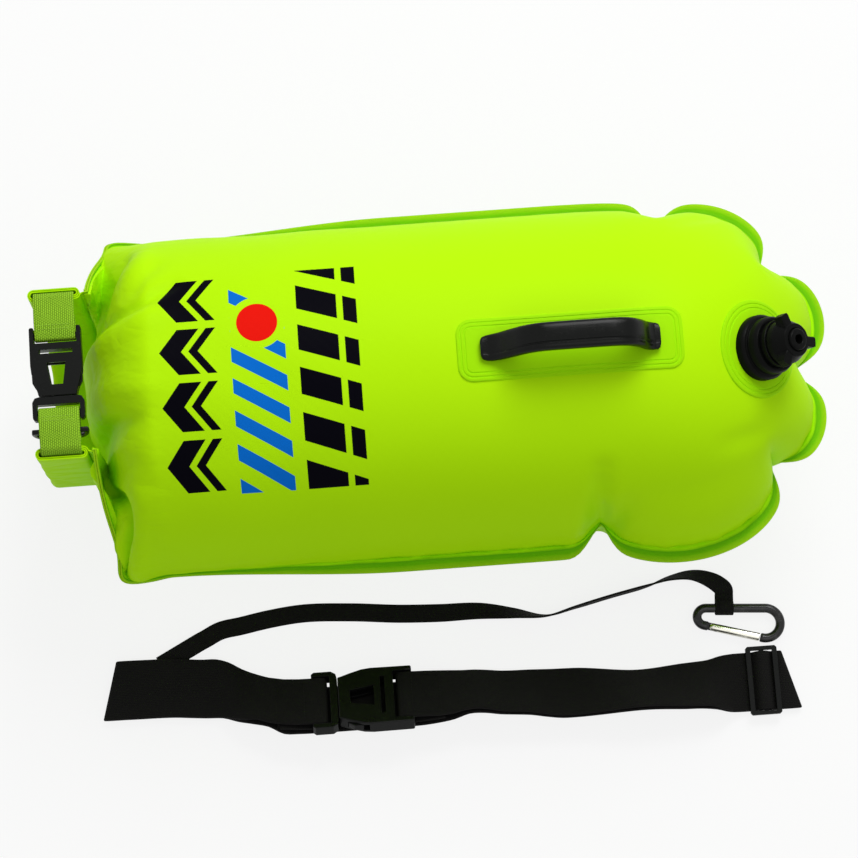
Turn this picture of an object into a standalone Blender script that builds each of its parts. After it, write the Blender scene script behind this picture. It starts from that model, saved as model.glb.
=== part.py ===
"""Open water swim buoy: a roll-top dry bag blown up as a float, with its waist belt and tether.

Metres, +Z up. X runs along the bag from the roll-top to the valve end. The origin is on the floor
under the middle of the bag, in the flat that the bag stands on. The belt lies on the floor at -Y.
"""
import math

import bmesh
import bpy
from mathutils import Matrix, Vector
from mathutils.bvhtree import BVHTree

# Fits shared by every piece
clearance = 0.0003
overrun = 0.002
weld_distance = 0.000001
smooth_angle = math.radians(35)

# Bag panels: two sheets welded round their edge and blown up
body_radius = 0.105
stand_depth = 0.003
panel_wall = 0.001
flange_width = 0.010
flange_least = 0.003
tube_start = -0.165
tube_end = 0.125
valve_end_length = 0.118
mouth_depth = 0.040
mouth_lip = 0.0015
end_fullness = 2.4
corner_sharpness = 1.4
column_count = 28
tube_row_count = 7
closing_turns = (90, 72, 54, 36, 18)
end_turns = (12, 24, 36, 48, 60, 71, 81, 90)

# Puckers of the welded edge round the valve end, by their bearing from the end's centre
pucker_bearings = (-104, -36, -3, 33, 75)
pucker_shares = (0.17, 0.14, 0.13, 0.11, 0.09)
lobe_shares = (0.075, 0.03, 0.045, 0.035)
pucker_spread = math.radians(7)
pucker_reach_share = 0.8
side_pucker_length = 0.045
valley_share = 0.3

# Roll-top collar: the mouth rolled on its stiffener and bent up into a U
collar_half_span = 0.050
collar_low = 0.027
collar_offset = 0.014
collar_layer = 0.0008
collar_half_turns = 4
collar_tail = 0.002
stiffener_thickness = 0.0015
strap_width = 0.025
strap_thickness = 0.0013
strap_buried = 0.012

# Closure buckle, side-release, for the strap
closure_sizes = {
    "slot_width": 0.0262,
    "rail": 0.0028,
    "socket_length": 0.043,
    "plug_length": 0.015,
    "socket_thickness": 0.0085,
    "plug_thickness": 0.0066,
    "bar_thickness": 0.0032,
    "strap_slot": 0.0036,
}
closure_buckle_shift = -0.001
closure_buckle_lift = 0.0025
ring_gap_from_plug = 0.0065
ring_rod = 0.0032
ring_depth = 0.021

# Belt buckle, the same design for the wider webbing
belt_sizes = {
    "slot_width": 0.0394,
    "rail": 0.0038,
    "socket_length": 0.048,
    "plug_length": 0.017,
    "socket_thickness": 0.0095,
    "plug_thickness": 0.0074,
    "bar_thickness": 0.0034,
    "strap_slot": 0.0042,
}

# Places on a buckle: across as shares of its half width, along as shares of its socket's length
buckle_shares = {
    "ring": 0.112,
    "entry": 0.61,
    "window_end": 0.40,
    "cavity_end": 0.52,
    "cavity_half": 0.79,
    "arm_root": 0.38,
    "arm_end": 0.47,
    "arm_waist": 0.2,
    "front_slot": 0.78,
}
buckle_arm_height_share = 0.47
plug_bar_share = 0.78
plug_tongue_share = 0.17
socket_outline_shares = ((0.73, 0), (0.76, 0.05), (0.86, 0.17), (0.97, 0.33), (1, 0.45), (0.99, 0.985),
                         (0.96, 1))
throat_shares = ((0.23, 0.16), (0.36, 0.48))
ear_shares = ((0.93, -1), (1, -0.9), (1, -0.24), (0.9, -0.06))

# Handle, moulded in one, on its welded patch
patch_thickness = 0.0008
handle_place = 0.086
handle_length = 0.108
handle_patch_length = 0.136
handle_patch_width = 0.038
handle_patch_corner = 0.009
handle_rise = 0.019
handle_width = 0.016
handle_foot_width = 0.019
handle_thickness = 0.0065
handle_foot_thickness = 0.0035

# Oral valve, its axis square to the bag's skin
valve_place_share = 0.66
valve_side_shift = -0.0055
valve_patch_radius = 0.030
valve_hole_radius = 0.0125
valve_base_radius = 0.020
valve_base_height = 0.0075
valve_barrel_radius = 0.0115
valve_barrel_depth = 0.009
valve_flange_radius = 0.0165
valve_flange_thickness = 0.0015
valve_bore = 0.0075
valve_neck_radius = 0.0145
valve_neck_height = 0.0185
valve_collar_radius = 0.0175
valve_collar_height = 0.0065
valve_knob_radius = 0.0135
valve_knob_height = 0.0125
valve_lug_reach = 0.0036
valve_lug_width = 0.0055
valve_lug_count = 3
valve_stem_radius = 0.0068
valve_stem_bore = 0.003
valve_stem_rise = 0.003
valve_tip_height = 0.002
valve_seal_rod = 0.0011
valve_seat_drop = 0.0012
turned_sides = 24

# Waist belt: one length of webbing lying as a flattened loop
belt_width = 0.038
belt_thickness = 0.0016
belt_left = -0.2155
belt_length = 0.437
belt_near = -0.163
belt_sway = 0.026
belt_tilt = math.radians(45)
belt_spread = 0.0066
belt_raise = 0.00175
belt_end_skew = 0.27
belt_end_shares = (0.12, 0.986)
belt_open_share = 0.75
belt_buckle_share = 0.332
belt_row_count = 26

# Slider that the belt's length is set by, a frame with three bars across the webbing
slider_share = 0.962
slider_rail = 0.0026
slider_bar = 0.0032
slider_slot = 0.0054
slider_thickness = 0.003
slider_bar_thickness = 0.002
slider_turn_shares = (0.907, 0.167)

# Tether: narrow webbing sewn in a loop round the belt and round the carabiner
tether_width = 0.012
tether_thickness = 0.0013
tether_tab_place = -0.172
tether_tab_length = 0.034
tether_step_count = 4

# Carabiner
carabiner_rod = 0.006
carabiner_spine = 0.0385
carabiner_large_radius = 0.0098
carabiner_small_radius = 0.0057
carabiner_gate_rod = 0.0054
carabiner_gate_bore = 0.0026
carabiner_fork_slot = 0.0022
carabiner_tongue = 0.0016
carabiner_pin_radius = 0.0007
carabiner_hinge_share = 0.13
carabiner_nose_share = 0.93
carabiner_spring_rod = 0.0005
carabiner_spring_turns = 6
carabiner_place = (0.1719, -0.1370)
carabiner_turn = math.radians(-4.2)
rod_sides = 10

# Colours, roughness and metallic value of each finish
neon = ((0.42, 0.78, 0.02), 0.38, 0.0)
neon_patch = ((0.30, 0.68, 0.03), 0.32, 0.0)
green_webbing = ((0.26, 0.48, 0.05), 0.75, 0.0)
black_plastic = ((0.012, 0.013, 0.012), 0.35, 0.0)
gloss_black = ((0.008, 0.008, 0.008), 0.18, 0.0)
black_webbing = ((0.006, 0.006, 0.005), 0.8, 0.0)
black_rubber = ((0.010, 0.010, 0.010), 0.6, 0.0)
anodised_black = ((0.010, 0.010, 0.010), 0.28, 0.6)
bright_steel = ((0.72, 0.71, 0.68), 0.2, 1.0)

seam_height = body_radius - stand_depth
panel_length = math.pi * body_radius
collar_leg = (panel_length - math.pi * collar_half_span) / 2
collar_base = collar_low + collar_half_span
collar_top = collar_base + collar_leg


def clear_scene():
    """Remove what the file holds."""
    for obj in list(bpy.data.objects):
        bpy.data.objects.remove(obj)


def add_object(name, bm, parent=None):
    """Object of a bmesh, under its parent."""
    mesh = bpy.data.meshes.new(name)
    bm.to_mesh(mesh)
    bm.free()
    obj = bpy.data.objects.new(name, mesh)
    bpy.context.collection.objects.link(obj)
    obj.parent = parent
    return obj


def add_piece(name, bm, finish, parent=None):
    """Named piece with its own material, shaded smooth up to a set angle."""
    obj = add_object(name, bm, parent)
    colour, roughness, metallic = finish
    material = bpy.data.materials.new(name)
    material.use_nodes = True
    shader = material.node_tree.nodes["Principled BSDF"]
    shader.inputs["Base Color"].default_value = (*colour, 1)
    shader.inputs["Roughness"].default_value = roughness
    shader.inputs["Metallic"].default_value = metallic
    obj.data.materials.append(material)
    obj.data.shade_smooth()
    obj.data.set_sharp_from_angle(angle=smooth_angle)
    return obj


def add_cutter(name, bm, parent=None):
    """Tool of a Boolean, left out of the model."""
    obj = add_object(name, bm, parent)
    obj.hide_render = True
    obj.display_type = "WIRE"
    return obj


def combine(piece, tool, operation="DIFFERENCE"):
    """Boolean of a piece with a tool."""
    step = piece.modifiers.new(tool.name, "BOOLEAN")
    step.operation = operation
    step.solver = "EXACT"
    step.object = tool


def add_carrier(name, matrix, parent=None):
    """Empty that holds a group of pieces, with its origin where they turn or seat."""
    empty = bpy.data.objects.new(name, None)
    bpy.context.collection.objects.link(empty)
    empty.parent = parent
    empty.matrix_local = matrix
    return empty


def frame_matrix(origin, x_axis, y_axis, z_axis):
    """Matrix with these axes as its columns."""
    matrix = Matrix((x_axis, y_axis, z_axis)).transposed().to_4x4()
    matrix.translation = origin
    return matrix


def smooth_step(low, high, value):
    """0 below low, 1 above high, eased between."""
    share = min(max((value - low) / (high - low), 0), 1)
    return share * share * (3 - 2 * share)


def smooth_curve(points, steps):
    """Points of a smooth curve through rows of numbers."""
    rows = [tuple(2 * a - b for a, b in zip(points[0], points[1])), *points]
    rows.append(tuple(2 * a - b for a, b in zip(points[-1], points[-2])))
    curve = []
    for p0, p1, p2, p3 in zip(rows, rows[1:], rows[2:], rows[3:]):
        for step in range(steps):
            t = step / steps
            curve.append(tuple(
                (2 * b + (c - a) * t + (2 * a - 5 * b + 4 * c - d) * t ** 2
                 + (3 * b - a - 3 * c + d) * t ** 3) / 2
                for a, b, c, d in zip(p0, p1, p2, p3)))
    curve.append(tuple(points[-1]))
    return curve


def arc(centre, across, up, start, end, steps):
    """Points of an elliptical arc, by its two half sizes and its angles in degrees."""
    angles = (math.radians(start + (end - start) * i / steps) for i in range(steps + 1))
    return [(centre[0] + across * math.cos(a), centre[1] + up * math.sin(a)) for a in angles]


def ribbon_outline(path, thickness):
    """Outline of a strip of even thickness that follows a flat path."""
    sides = ([], [])
    for i, point in enumerate(path):
        before = Vector(path[max(i - 1, 0)])
        after = Vector(path[min(i + 1, len(path) - 1)])
        along = (after - before).normalized()
        across = Vector((-along.y, along.x)) * thickness / 2
        sides[0].append(tuple(Vector(point) + across))
        sides[1].append(tuple(Vector(point) - across))
    return sides[0] + sides[1][::-1]


def sweep(sections, frames, closed=False):
    """Mesh of a section, or one section a frame, carried through frames of origin and two axes."""
    bm = bmesh.new()
    if not isinstance(sections[0][0], (tuple, list)):
        sections = [sections] * len(frames)
    rings = [[bm.verts.new(origin + side * a + up * b) for a, b in section]
             for section, (origin, side, up) in zip(sections, frames)]
    pairs = list(zip(rings, rings[1:]))
    if closed:
        pairs.append((rings[-1], rings[0]))
    for low, high in pairs:
        for i in range(len(low)):
            j = (i + 1) % len(low)
            bm.faces.new((low[i], low[j], high[j], high[i]))
    if not closed:
        for ring in (rings[0], rings[-1]):
            last = len(ring) - 1
            for i in range(len(ring) // 2 - 1):
                bm.faces.new((ring[i], ring[i + 1], ring[last - i - 1], ring[last - i]))
    bmesh.ops.recalc_face_normals(bm, faces=bm.faces)
    return bm


def rectangle(width, height):
    """Section of a flat strip."""
    return [(-width / 2, -height / 2), (width / 2, -height / 2),
            (width / 2, height / 2), (-width / 2, height / 2)]


def strip(path, thickness, width):
    """Strip on edge that follows a flat path, its width along Z."""
    frames = []
    for i, point in enumerate(path):
        before = Vector(path[max(i - 1, 0)])
        after = Vector(path[min(i + 1, len(path) - 1)])
        along = (after - before).normalized()
        frames.append((Vector((*point, 0)), Vector((0, 0, 1)), Vector((-along.y, along.x, 0))))
    return sweep(rectangle(width, thickness), frames)


def plate(outline, low, high):
    """Flat outline extruded from one height to another."""
    bm = bmesh.new()
    face = bm.faces.new([bm.verts.new((x, y, low)) for x, y in outline])
    grown = bmesh.ops.extrude_face_region(bm, geom=[face])["geom"]
    moved = [v for v in grown if isinstance(v, bmesh.types.BMVert)]
    bmesh.ops.translate(bm, vec=(0, 0, high - low), verts=moved)
    bmesh.ops.recalc_face_normals(bm, faces=bm.faces)
    return bm


def block(x_range, y_range, z_range):
    """Box between three pairs of limits."""
    corners = [(x, y) for x, y in zip((*x_range, *x_range[::-1]), (y_range[0],) * 2 + (y_range[1],) * 2)]
    return plate(corners, *z_range)


def turned(profile, sides):
    """Profile of radius and height turned about Z."""
    bm = bmesh.new()
    verts = [bm.verts.new((radius, 0, height)) for radius, height in profile]
    edges = [bm.edges.new(pair) for pair in zip(verts, verts[1:])]
    if profile[0][0] or profile[-1][0]:
        edges.append(bm.edges.new((verts[-1], verts[0])))
    bmesh.ops.spin(bm, geom=verts + edges, axis=(0, 0, 1), cent=(0, 0, 0),
                   angle=2 * math.pi, steps=sides, use_merge=True)
    bmesh.ops.remove_doubles(bm, verts=bm.verts, dist=weld_distance)
    bmesh.ops.recalc_face_normals(bm, faces=bm.faces)
    return bm


def circle(radius, sides):
    """Section of a round rod."""
    turns = (2 * math.pi * (i + 0.5) / sides for i in range(sides))
    return [(radius * math.cos(a), radius * math.sin(a)) for a in turns]


# The shape of the bag

def end_radius(bearing):
    """Distance from the end's centre to its welded edge, before the puckers."""
    across = abs(math.sin(bearing)) / body_radius
    along = max(math.cos(bearing), 0) / valve_end_length
    return (across ** end_fullness + along ** end_fullness) ** (-1 / end_fullness)


def pucker_scale(x, y):
    """Scale of the plan, and the share by which the skin sinks, where the welded edge puckers."""
    along = x - tube_end
    if along < 0:
        reach = abs(y) / body_radius
    else:
        reach = math.hypot(along, y) / end_radius(math.atan2(y, along))
    strength = smooth_step(pucker_reach_share, 1, reach)
    strength *= smooth_step(-side_pucker_length, -side_pucker_length / 2, along)
    bearing = math.atan2(y, along)
    notches = [math.radians(b) for b in pucker_bearings]
    drawn = sum(share * math.exp(-abs(bearing - notch) / pucker_spread)
                for share, notch in zip(pucker_shares, notches))
    swell = sum(share * math.sin(math.pi * (bearing - low) / (high - low))
                for share, low, high in zip(lobe_shares, notches, notches[1:])
                if low < bearing < high)
    return 1 + strength * (swell - drawn), strength * drawn * valley_share / max(pucker_shares)


def puckered(x, y, height):
    """Point of the bag, with its height over the seam, after the puckers."""
    scale, sunk = pucker_scale(x, y)
    return tube_end + (x - tube_end) * scale, y * scale, height * (1 - sunk)


def collar_point(share, inward):
    """Place on the U in Y and Z, from the near leg's top round to the far leg's top."""
    run = share * panel_length
    if run <= collar_leg:
        return collar_offset - collar_half_span + inward, collar_top - run
    if run >= panel_length - collar_leg:
        return collar_offset + collar_half_span - inward, collar_top - (panel_length - run)
    turn = (run - collar_leg) / collar_half_span
    radius = collar_half_span - inward
    return collar_offset - radius * math.cos(turn), collar_base - radius * math.sin(turn)


def columns():
    """Latitudes across a panel, with one on each pucker of the end."""
    turns = [math.pi * (i / column_count - 0.5) for i in range(column_count + 1)]
    for degrees in pucker_bearings[1:]:
        bearing = math.radians(degrees)
        latitude = math.asin(end_radius(bearing) * math.sin(bearing) / body_radius)
        nearest = min(range(1, column_count), key=lambda i: abs(turns[i] - latitude))
        turns[nearest] = latitude
    return turns


def body_point(side, x, y, height):
    """Point of the surface between the panels' inner skins, after the puckers."""
    px, py, up = puckered(x, y, height)
    z = seam_height + side * up
    return Vector((px, py, z if side > 0 else max(z, panel_wall + clearance / 2)))


def tube_row(side, x, flange):
    """Row round the tube, with the flange's edge at both ends."""
    radius = body_radius - panel_wall
    rise = radius - clearance / 2
    row = [body_point(side, x, radius * math.sin(t), rise * math.cos(t)) for t in columns()]
    edge = radius + flange
    return [body_point(side, x, -edge, 0), *row, body_point(side, x, edge, 0)]


def mouth_row(side, turn):
    """Row between the tube and the U of the roll. Each step's direction eases from the one's to the other's."""
    blend = 1 - math.cos(turn)
    slide = blend ** corner_sharpness
    ring = tube_row(side, tube_start, flange_least)[1:-1]
    loop = [Vector((0, *collar_point(t / math.pi + 0.5, 0))) for t in columns()]
    row = [Vector((0, 0, 0))]
    for a, b, c, d in zip(ring, ring[1:], loop, loop[1:]):
        round_step, flat_step = b - a, d - c
        angle = (1 - blend) * math.atan2(round_step.z, round_step.y)
        angle += blend * math.atan2(flat_step.z, flat_step.y)
        length = (1 - blend) * round_step.length + blend * flat_step.length
        row.append(row[-1] + Vector((0, length * math.cos(angle), length * math.sin(angle))))
    near, far = ring[0].lerp(loop[0], slide), ring[-1].lerp(loop[-1], slide)
    stretch = (far.y - near.y) / row[-1].y
    drop = row[-1].z
    depth = 1
    if side < 0:
        low, mouth_low = min(point.z for point in ring), min(point.z for point in loop)
        depth = (near.z - low - (mouth_low - low) * blend) / -min(point.z for point in row)
    x = tube_start - mouth_depth * math.sin(turn)
    row = [Vector((x, near.y + point.y * stretch, near.z + (point.z - drop * i / (len(row) - 1)) * depth))
           for i, point in enumerate(row)]
    edge = Vector((0, math.cos(math.pi / 2 * blend), math.sin(math.pi / 2 * blend))) * flange_least
    return [row[0] + Vector((0, -edge.y, edge.z)), *row, row[-1] + edge]


def end_row(side, turn):
    """Row round the valve end, by its turn from the tube to the welded edge."""
    radius = body_radius - panel_wall
    rise = radius - clearance / 2
    row = []
    for t in columns():
        reach = (1 - min(abs(math.sin(t)), 1) ** end_fullness) ** (1 / end_fullness)
        x = tube_end + (valve_end_length - panel_wall) * reach * math.sin(turn)
        row.append(body_point(side, x, radius * math.sin(t), rise * math.cos(t) * math.cos(turn)))
    edge = radius + flange_width
    return [body_point(side, tube_end, -edge, 0), *row, body_point(side, tube_end, edge, 0)]


def flange_row(side):
    """Outer edge of the flange round the valve end."""
    radius = body_radius - panel_wall
    length = valve_end_length - panel_wall
    row = []
    for t in columns():
        share = min(abs(math.sin(t)), 1)
        reach = (1 - share ** end_fullness) ** (1 / end_fullness)
        out = Vector((reach ** (end_fullness - 1) / length,
                      math.copysign(share ** (end_fullness - 1), t) / radius)).normalized() * flange_width
        row.append(body_point(side, tube_end + length * reach + out.x,
                              math.copysign(radius * share, t) + out.y, 0))
    edge = radius + flange_width
    return [body_point(side, tube_end, -edge, 0), *row, body_point(side, tube_end, edge, 0)]


def panel_rows(side):
    """Rows of a panel from the roll's lip to the flange. side is 1 for the front, -1 for the back."""
    mouth = mouth_row(side, math.pi / 2)
    rows = [[point - Vector((mouth_lip, 0, 0)) for point in mouth]]
    rows += [mouth_row(side, math.radians(turn)) for turn in closing_turns]
    length = tube_end - tube_start
    places = [tube_start + length * i / (tube_row_count - 1) for i in range(tube_row_count)]
    bearing = math.radians(pucker_bearings[0])
    places.insert(-1, tube_end + math.cos(bearing) * end_radius(bearing))
    for x in places:
        grown = smooth_step(tube_start, tube_start + length / 2, x)
        rows.append(tube_row(side, x, flange_least + (flange_width - flange_least) * grown))
    rows += [end_row(side, math.radians(turn)) for turn in end_turns]
    rows.append(flange_row(side))
    return rows


def outward(rows, side):
    """Direction out of the bag at each point of a panel's rows."""
    directions = []
    for i, row in enumerate(rows):
        before, after = rows[max(i - 1, 0)], rows[min(i + 1, len(rows) - 1)]
        line = []
        for j in range(len(row)):
            across = row[min(j + 1, len(row) - 1)] - row[max(j - 1, 0)]
            along = before[j] - after[j]
            if along.length > weld_distance:
                line.append(across.cross(along).normalized() * side)
            else:
                line.append(directions[-1][j])
        directions.append(line)
    return directions


def shell(rows, directions, low, high):
    """Solid between two offsets of a grid of points, in triangles that run alike at every offset."""
    bm = bmesh.new()
    skins = []
    for offset in (high, low):
        skins.append([[bm.verts.new(point + way * offset) for point, way in zip(row, line)]
                      for row, line in zip(rows, directions)])
    outer, inner = skins
    row_count, width = len(outer), len(outer[0])
    for grid in skins:
        for i in range(row_count - 1):
            for j in range(width - 1):
                near, far = grid[i], grid[i + 1]
                bm.faces.new((near[j], far[j], far[j + 1]))
                bm.faces.new((near[j], far[j + 1], near[j + 1]))
    rim = [(0, j) for j in range(width)]
    rim += [(i, width - 1) for i in range(1, row_count)]
    rim += [(row_count - 1, j) for j in range(width - 2, -1, -1)]
    rim += [(i, 0) for i in range(row_count - 2, 0, -1)]
    for (i, j), (k, m) in zip(rim, rim[1:] + rim[:1]):
        bm.faces.new((outer[i][j], outer[k][m], inner[k][m], inner[i][j]))
    for vert in bm.verts:
        vert.co.z = max(vert.co.z, 0)
    bmesh.ops.remove_doubles(bm, verts=bm.verts, dist=weld_distance)
    bmesh.ops.recalc_face_normals(bm, faces=bm.faces)
    return bm


def build_panel(name, side):
    """One panel: its outer and inner skins, joined round the rim."""
    rows = panel_rows(side)
    bm = shell(rows, outward(rows, side), clearance / 2, clearance / 2 + panel_wall)
    return add_piece(name, bm, neon)


# Roll-top closure

def roll_measures():
    """Half length of the roll's straight runs, its first radius, and the growth of a half turn."""
    first = stiffener_thickness / 2 + clearance + collar_layer / 2
    return strap_width / 2, first, (collar_layer + clearance) / 2


def roll_place():
    """X of the roll's middle, a short tail behind the bag's mouth."""
    straight, first, step = roll_measures()
    tail = straight + first + (collar_half_turns + 0.5) * step + collar_tail
    return tube_start - mouth_depth - mouth_lip - clearance - tail


def roll_outline():
    """Section of the roll: the mouth wound flat round the stiffener, its tail toward the bag."""
    straight, first, step = roll_measures()
    path = [(-straight, first)]
    for k in range(collar_half_turns):
        side = 1 if k % 2 == 0 else -1
        radius = first + (k + 0.5) * step
        path += arc((side * straight, -side * step / 2), side * radius, side * radius, 90, -90, 5)
    radius = first + (collar_half_turns + 0.5) * step
    path += arc((straight, -step / 2), radius, radius, 90, 15, 4)
    path.append((straight + radius + collar_tail, 0))
    return ribbon_outline(path, collar_layer)


def collar_frames(shares):
    """Frames round the U at these shares of its length."""
    frames = []
    for share in shares:
        y, z = collar_point(share, 0)
        inner_y, inner_z = collar_point(share, collar_layer)
        inward = Vector((0, inner_y - y, inner_z - z)).normalized()
        frames.append((Vector((roll_place(), y, z)), Vector((1, 0, 0)), inward))
    return frames


def build_collar():
    """Roll of the two panels' mouth, and the stiffener inside it, both bent up into a U."""
    bend = math.pi * collar_half_span / panel_length
    middle = [collar_leg / panel_length + bend * i / 10 for i in range(11)]
    add_piece("roll_collar", sweep(roll_outline(), collar_frames([0, *middle, 1])), neon)
    buried = (strap_buried + clearance) / panel_length
    core = collar_frames([buried, *middle, 1 - buried])
    add_piece("collar_stiffener", sweep(rectangle(strap_width, stiffener_thickness), core), black_plastic)


def build_closure_strap(name, leg, bar_edge, height, lap_end, toward):
    """Strap from a leg of the collar, over a buckle bar, round it and back under itself."""
    lay = closure_sizes["bar_thickness"] / 2 + clearance + strap_thickness / 2
    bend = height + lay - collar_top
    loop = closure_sizes["strap_slot"] / 2
    path = [(leg, collar_top - strap_buried), (leg, collar_top)]
    path += [(leg + toward * (bend - bend * math.cos(a)), collar_top + bend * math.sin(a))
             for a in (math.radians(d) for d in (30, 60, 90))]
    start = bar_edge - toward * clearance
    path += [(start + toward * loop * math.sin(a), height + lay * math.cos(a))
             for a in (math.radians(d) for d in (0, 30, 60, 90, 120, 150, 180))]
    path.append((lap_end, height - lay))
    path.append((lap_end - toward * strap_width / 6, height + lay - strap_thickness * 3 / 2))
    strap = add_piece(name, strip(path, strap_thickness, strap_width), green_webbing)
    strap.matrix_world = frame_matrix(Vector((roll_place(), 0, 0)), (0, 1, 0), (0, 0, 1), (1, 0, 0))


# Side-release buckle, in its own frame: X across, +Y from the plug to the socket, origin at the mouth

def mirrored(half):
    """Outline from its right half, listed from the bottom up."""
    return half + [(-x, y) for x, y in half[::-1]]


def buckle_measures(sizes):
    """Sizes that the socket, the plug and the arms share."""
    half = sizes["slot_width"] / 2 + sizes["rail"]
    length = sizes["socket_length"]
    measures = {key: half * buckle_shares[key] for key in ("entry", "cavity_half", "arm_root")}
    measures.update({key: length * buckle_shares[key]
                     for key in ("ring", "window_end", "cavity_end", "arm_end", "arm_waist")})
    measures["half"] = half
    measures["arm_height"] = sizes["socket_thickness"] * buckle_arm_height_share
    return measures


def plug_bar_edge(sizes):
    """Y of the plug's rear bar where the strap goes round it."""
    return -sizes["plug_length"] * plug_bar_share + sizes["rail"]


def socket_bar_edge(sizes):
    """Y of the socket's rear bar where the strap goes round it."""
    return sizes["socket_length"] - sizes["strap_slot"] - sizes["rail"]


def build_socket(prefix, sizes, parent):
    """Socket: body with its cavity, side windows, open throat and ladder bars."""
    at = buckle_measures(sizes)
    half, length = at["half"], sizes["socket_length"]
    top = sizes["socket_thickness"] / 2
    slot_half = sizes["slot_width"] / 2
    slot = sizes["strap_slot"]
    rear = [(slot_half, length), (slot_half, length - slot)]
    outline = mirrored([(half * x, length * y) for x, y in socket_outline_shares] + rear)
    socket = add_piece(prefix + "_socket", plate(outline, -top, top), black_plastic, parent)
    edge = socket.modifiers.new("edge", "BEVEL")
    edge.width = sizes["rail"] / 6
    edge.segments = 1
    edge.limit_method = "ANGLE"
    inside = at["arm_height"] / 2 + clearance
    bar = sizes["bar_thickness"] / 2
    rear_bar = socket_bar_edge(sizes)
    middle_bar = rear_bar - slot
    front_bar = middle_bar - sizes["rail"] * 3 / 2
    front_half = slot_half * buckle_shares["front_slot"]
    throat = [(half * x, length * y) for x, y in throat_shares]
    cavity = [(at["entry"], -overrun), (at["entry"], at["ring"]), (half + overrun, at["ring"]),
              (half + overrun, at["window_end"]), (at["cavity_half"], at["window_end"]),
              (at["cavity_half"], at["cavity_end"])]
    cuts = {
        "cavity": plate(mirrored(cavity), -inside, inside),
        "throat": plate(mirrored(throat), -top - overrun, top + overrun),
        "rear_slot": block((-slot_half, slot_half), (middle_bar, rear_bar), (-top - overrun, top + overrun)),
        "front_slot": block((-front_half, front_half), (front_bar - slot * 2 / 3, front_bar),
                            (-top - overrun, top + overrun)),
        "over_bar": block((-slot_half, slot_half), (middle_bar, length + overrun), (bar, top + overrun)),
        "under_bar": block((-slot_half, slot_half), (middle_bar, length + overrun), (-top - overrun, -bar)),
    }
    for key, bm in cuts.items():
        combine(socket, add_cutter(prefix + "_" + key + "_cutter", bm, parent))


def build_plug(prefix, sizes, parent):
    """Plug: front bar with its short tongue, the slot, the rear bar and the two ears."""
    at = buckle_measures(sizes)
    half, length = at["half"], sizes["plug_length"]
    top = sizes["plug_thickness"] / 2
    slot_half = sizes["slot_width"] / 2
    slot = sizes["strap_slot"]
    ears = [(half * x, length * y) for x, y in ear_shares]
    notch = [(slot_half, -length * plug_bar_share), (slot_half, -length)]
    tongue_half = half * plug_tongue_share
    tongue = [(tongue_half, -clearance), (tongue_half, length * 0.3)]
    front = [(half * socket_outline_shares[0][0], -clearance)]
    outline = mirrored(notch + ears + front + tongue)
    plug = add_piece(prefix + "_plug", plate(outline, -top, top), black_plastic, parent)
    bar = sizes["bar_thickness"] / 2
    rear_bar = plug_bar_edge(sizes)
    cuts = {
        "plug_slot": block((-slot_half, slot_half), (rear_bar, rear_bar + slot),
                           (-top - overrun, top + overrun)),
        "over_plug_bar": block((-slot_half, slot_half), (-length - overrun, rear_bar + slot),
                               (bar, top + overrun)),
        "under_plug_bar": block((-slot_half, slot_half), (-length - overrun, rear_bar + slot),
                                (-top - overrun, -bar)),
        "over_tongue": block((-half / 4, half / 4), (-clearance, length), (bar, top + overrun)),
        "under_tongue": block((-half / 4, half / 4), (-clearance, length), (-top - overrun, -bar)),
    }
    for key, bm in cuts.items():
        combine(plug, add_cutter(prefix + "_" + key + "_cutter", bm, parent))


def build_arm(prefix, sizes, parent, side):
    """Latch arm: a springy prong with a shoulder behind the socket's ring and a press pad."""
    at = buckle_measures(sizes)
    half, root = at["half"], at["arm_root"]
    outer = at["entry"] - clearance * 1.5
    shoulder = at["ring"] + clearance
    pad_end = at["window_end"] - clearance
    outline = [
        (root * 1.2, clearance / 2), (outer, clearance / 2), (outer, shoulder),
        (half * 0.84, shoulder), (half * 0.96, shoulder + (pad_end - shoulder) * 0.3),
        (half * 0.97, shoulder + (pad_end - shoulder) * 0.7), (half * 0.76, pad_end),
        (half * 0.6, at["arm_end"]), (half * 0.5, at["arm_end"]), (root * 1.05, at["arm_waist"]),
    ]
    pivot = (root + outer) / 2
    name = prefix + ("_arm_right" if side > 0 else "_arm_left")
    carrier = add_carrier(name + "_pivot", Matrix.Translation((side * pivot, 0, 0)), parent)
    placed = [(side * x - side * pivot, y) for x, y in outline]
    height = at["arm_height"] / 2
    add_piece(name, plate(placed, -height, height), black_plastic, carrier)


def build_buckle(prefix, sizes, parent):
    """The four pieces of a side-release buckle."""
    build_socket(prefix, sizes, parent)
    build_plug(prefix, sizes, parent)
    build_arm(prefix, sizes, parent, -1)
    build_arm(prefix, sizes, parent, 1)


def build_tether_ring(place):
    """D-ring: a straight bar held in the near strap, and a bow that hangs from it."""
    carrier = add_carrier("tether_ring_pivot", Matrix.Translation(place))
    half = strap_width / 2 + clearance + ring_rod
    bow = [(half * math.cos(a), -ring_depth * math.sin(a) ** 0.8)
           for a in (math.pi * i / 12 for i in range(13))]
    path = [(0, 0)] + bow
    frames = []
    for i, point in enumerate(path):
        before, after = Vector(path[i - 1]), Vector(path[(i + 1) % len(path)])
        along = (after - before).normalized()
        frames.append((Vector((point[0], 0, point[1])), Vector((0, 1, 0)), Vector((-along.y, 0, along.x))))
    flat = ring_rod / 2
    chamfer = flat * 0.6
    section = [(flat, -chamfer), (flat, chamfer), (chamfer, flat), (-chamfer, flat),
               (-flat, chamfer), (-flat, -chamfer), (-chamfer, -flat), (chamfer, -flat)]
    add_piece("tether_ring", sweep(section, frames, closed=True), black_plastic, carrier)


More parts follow.
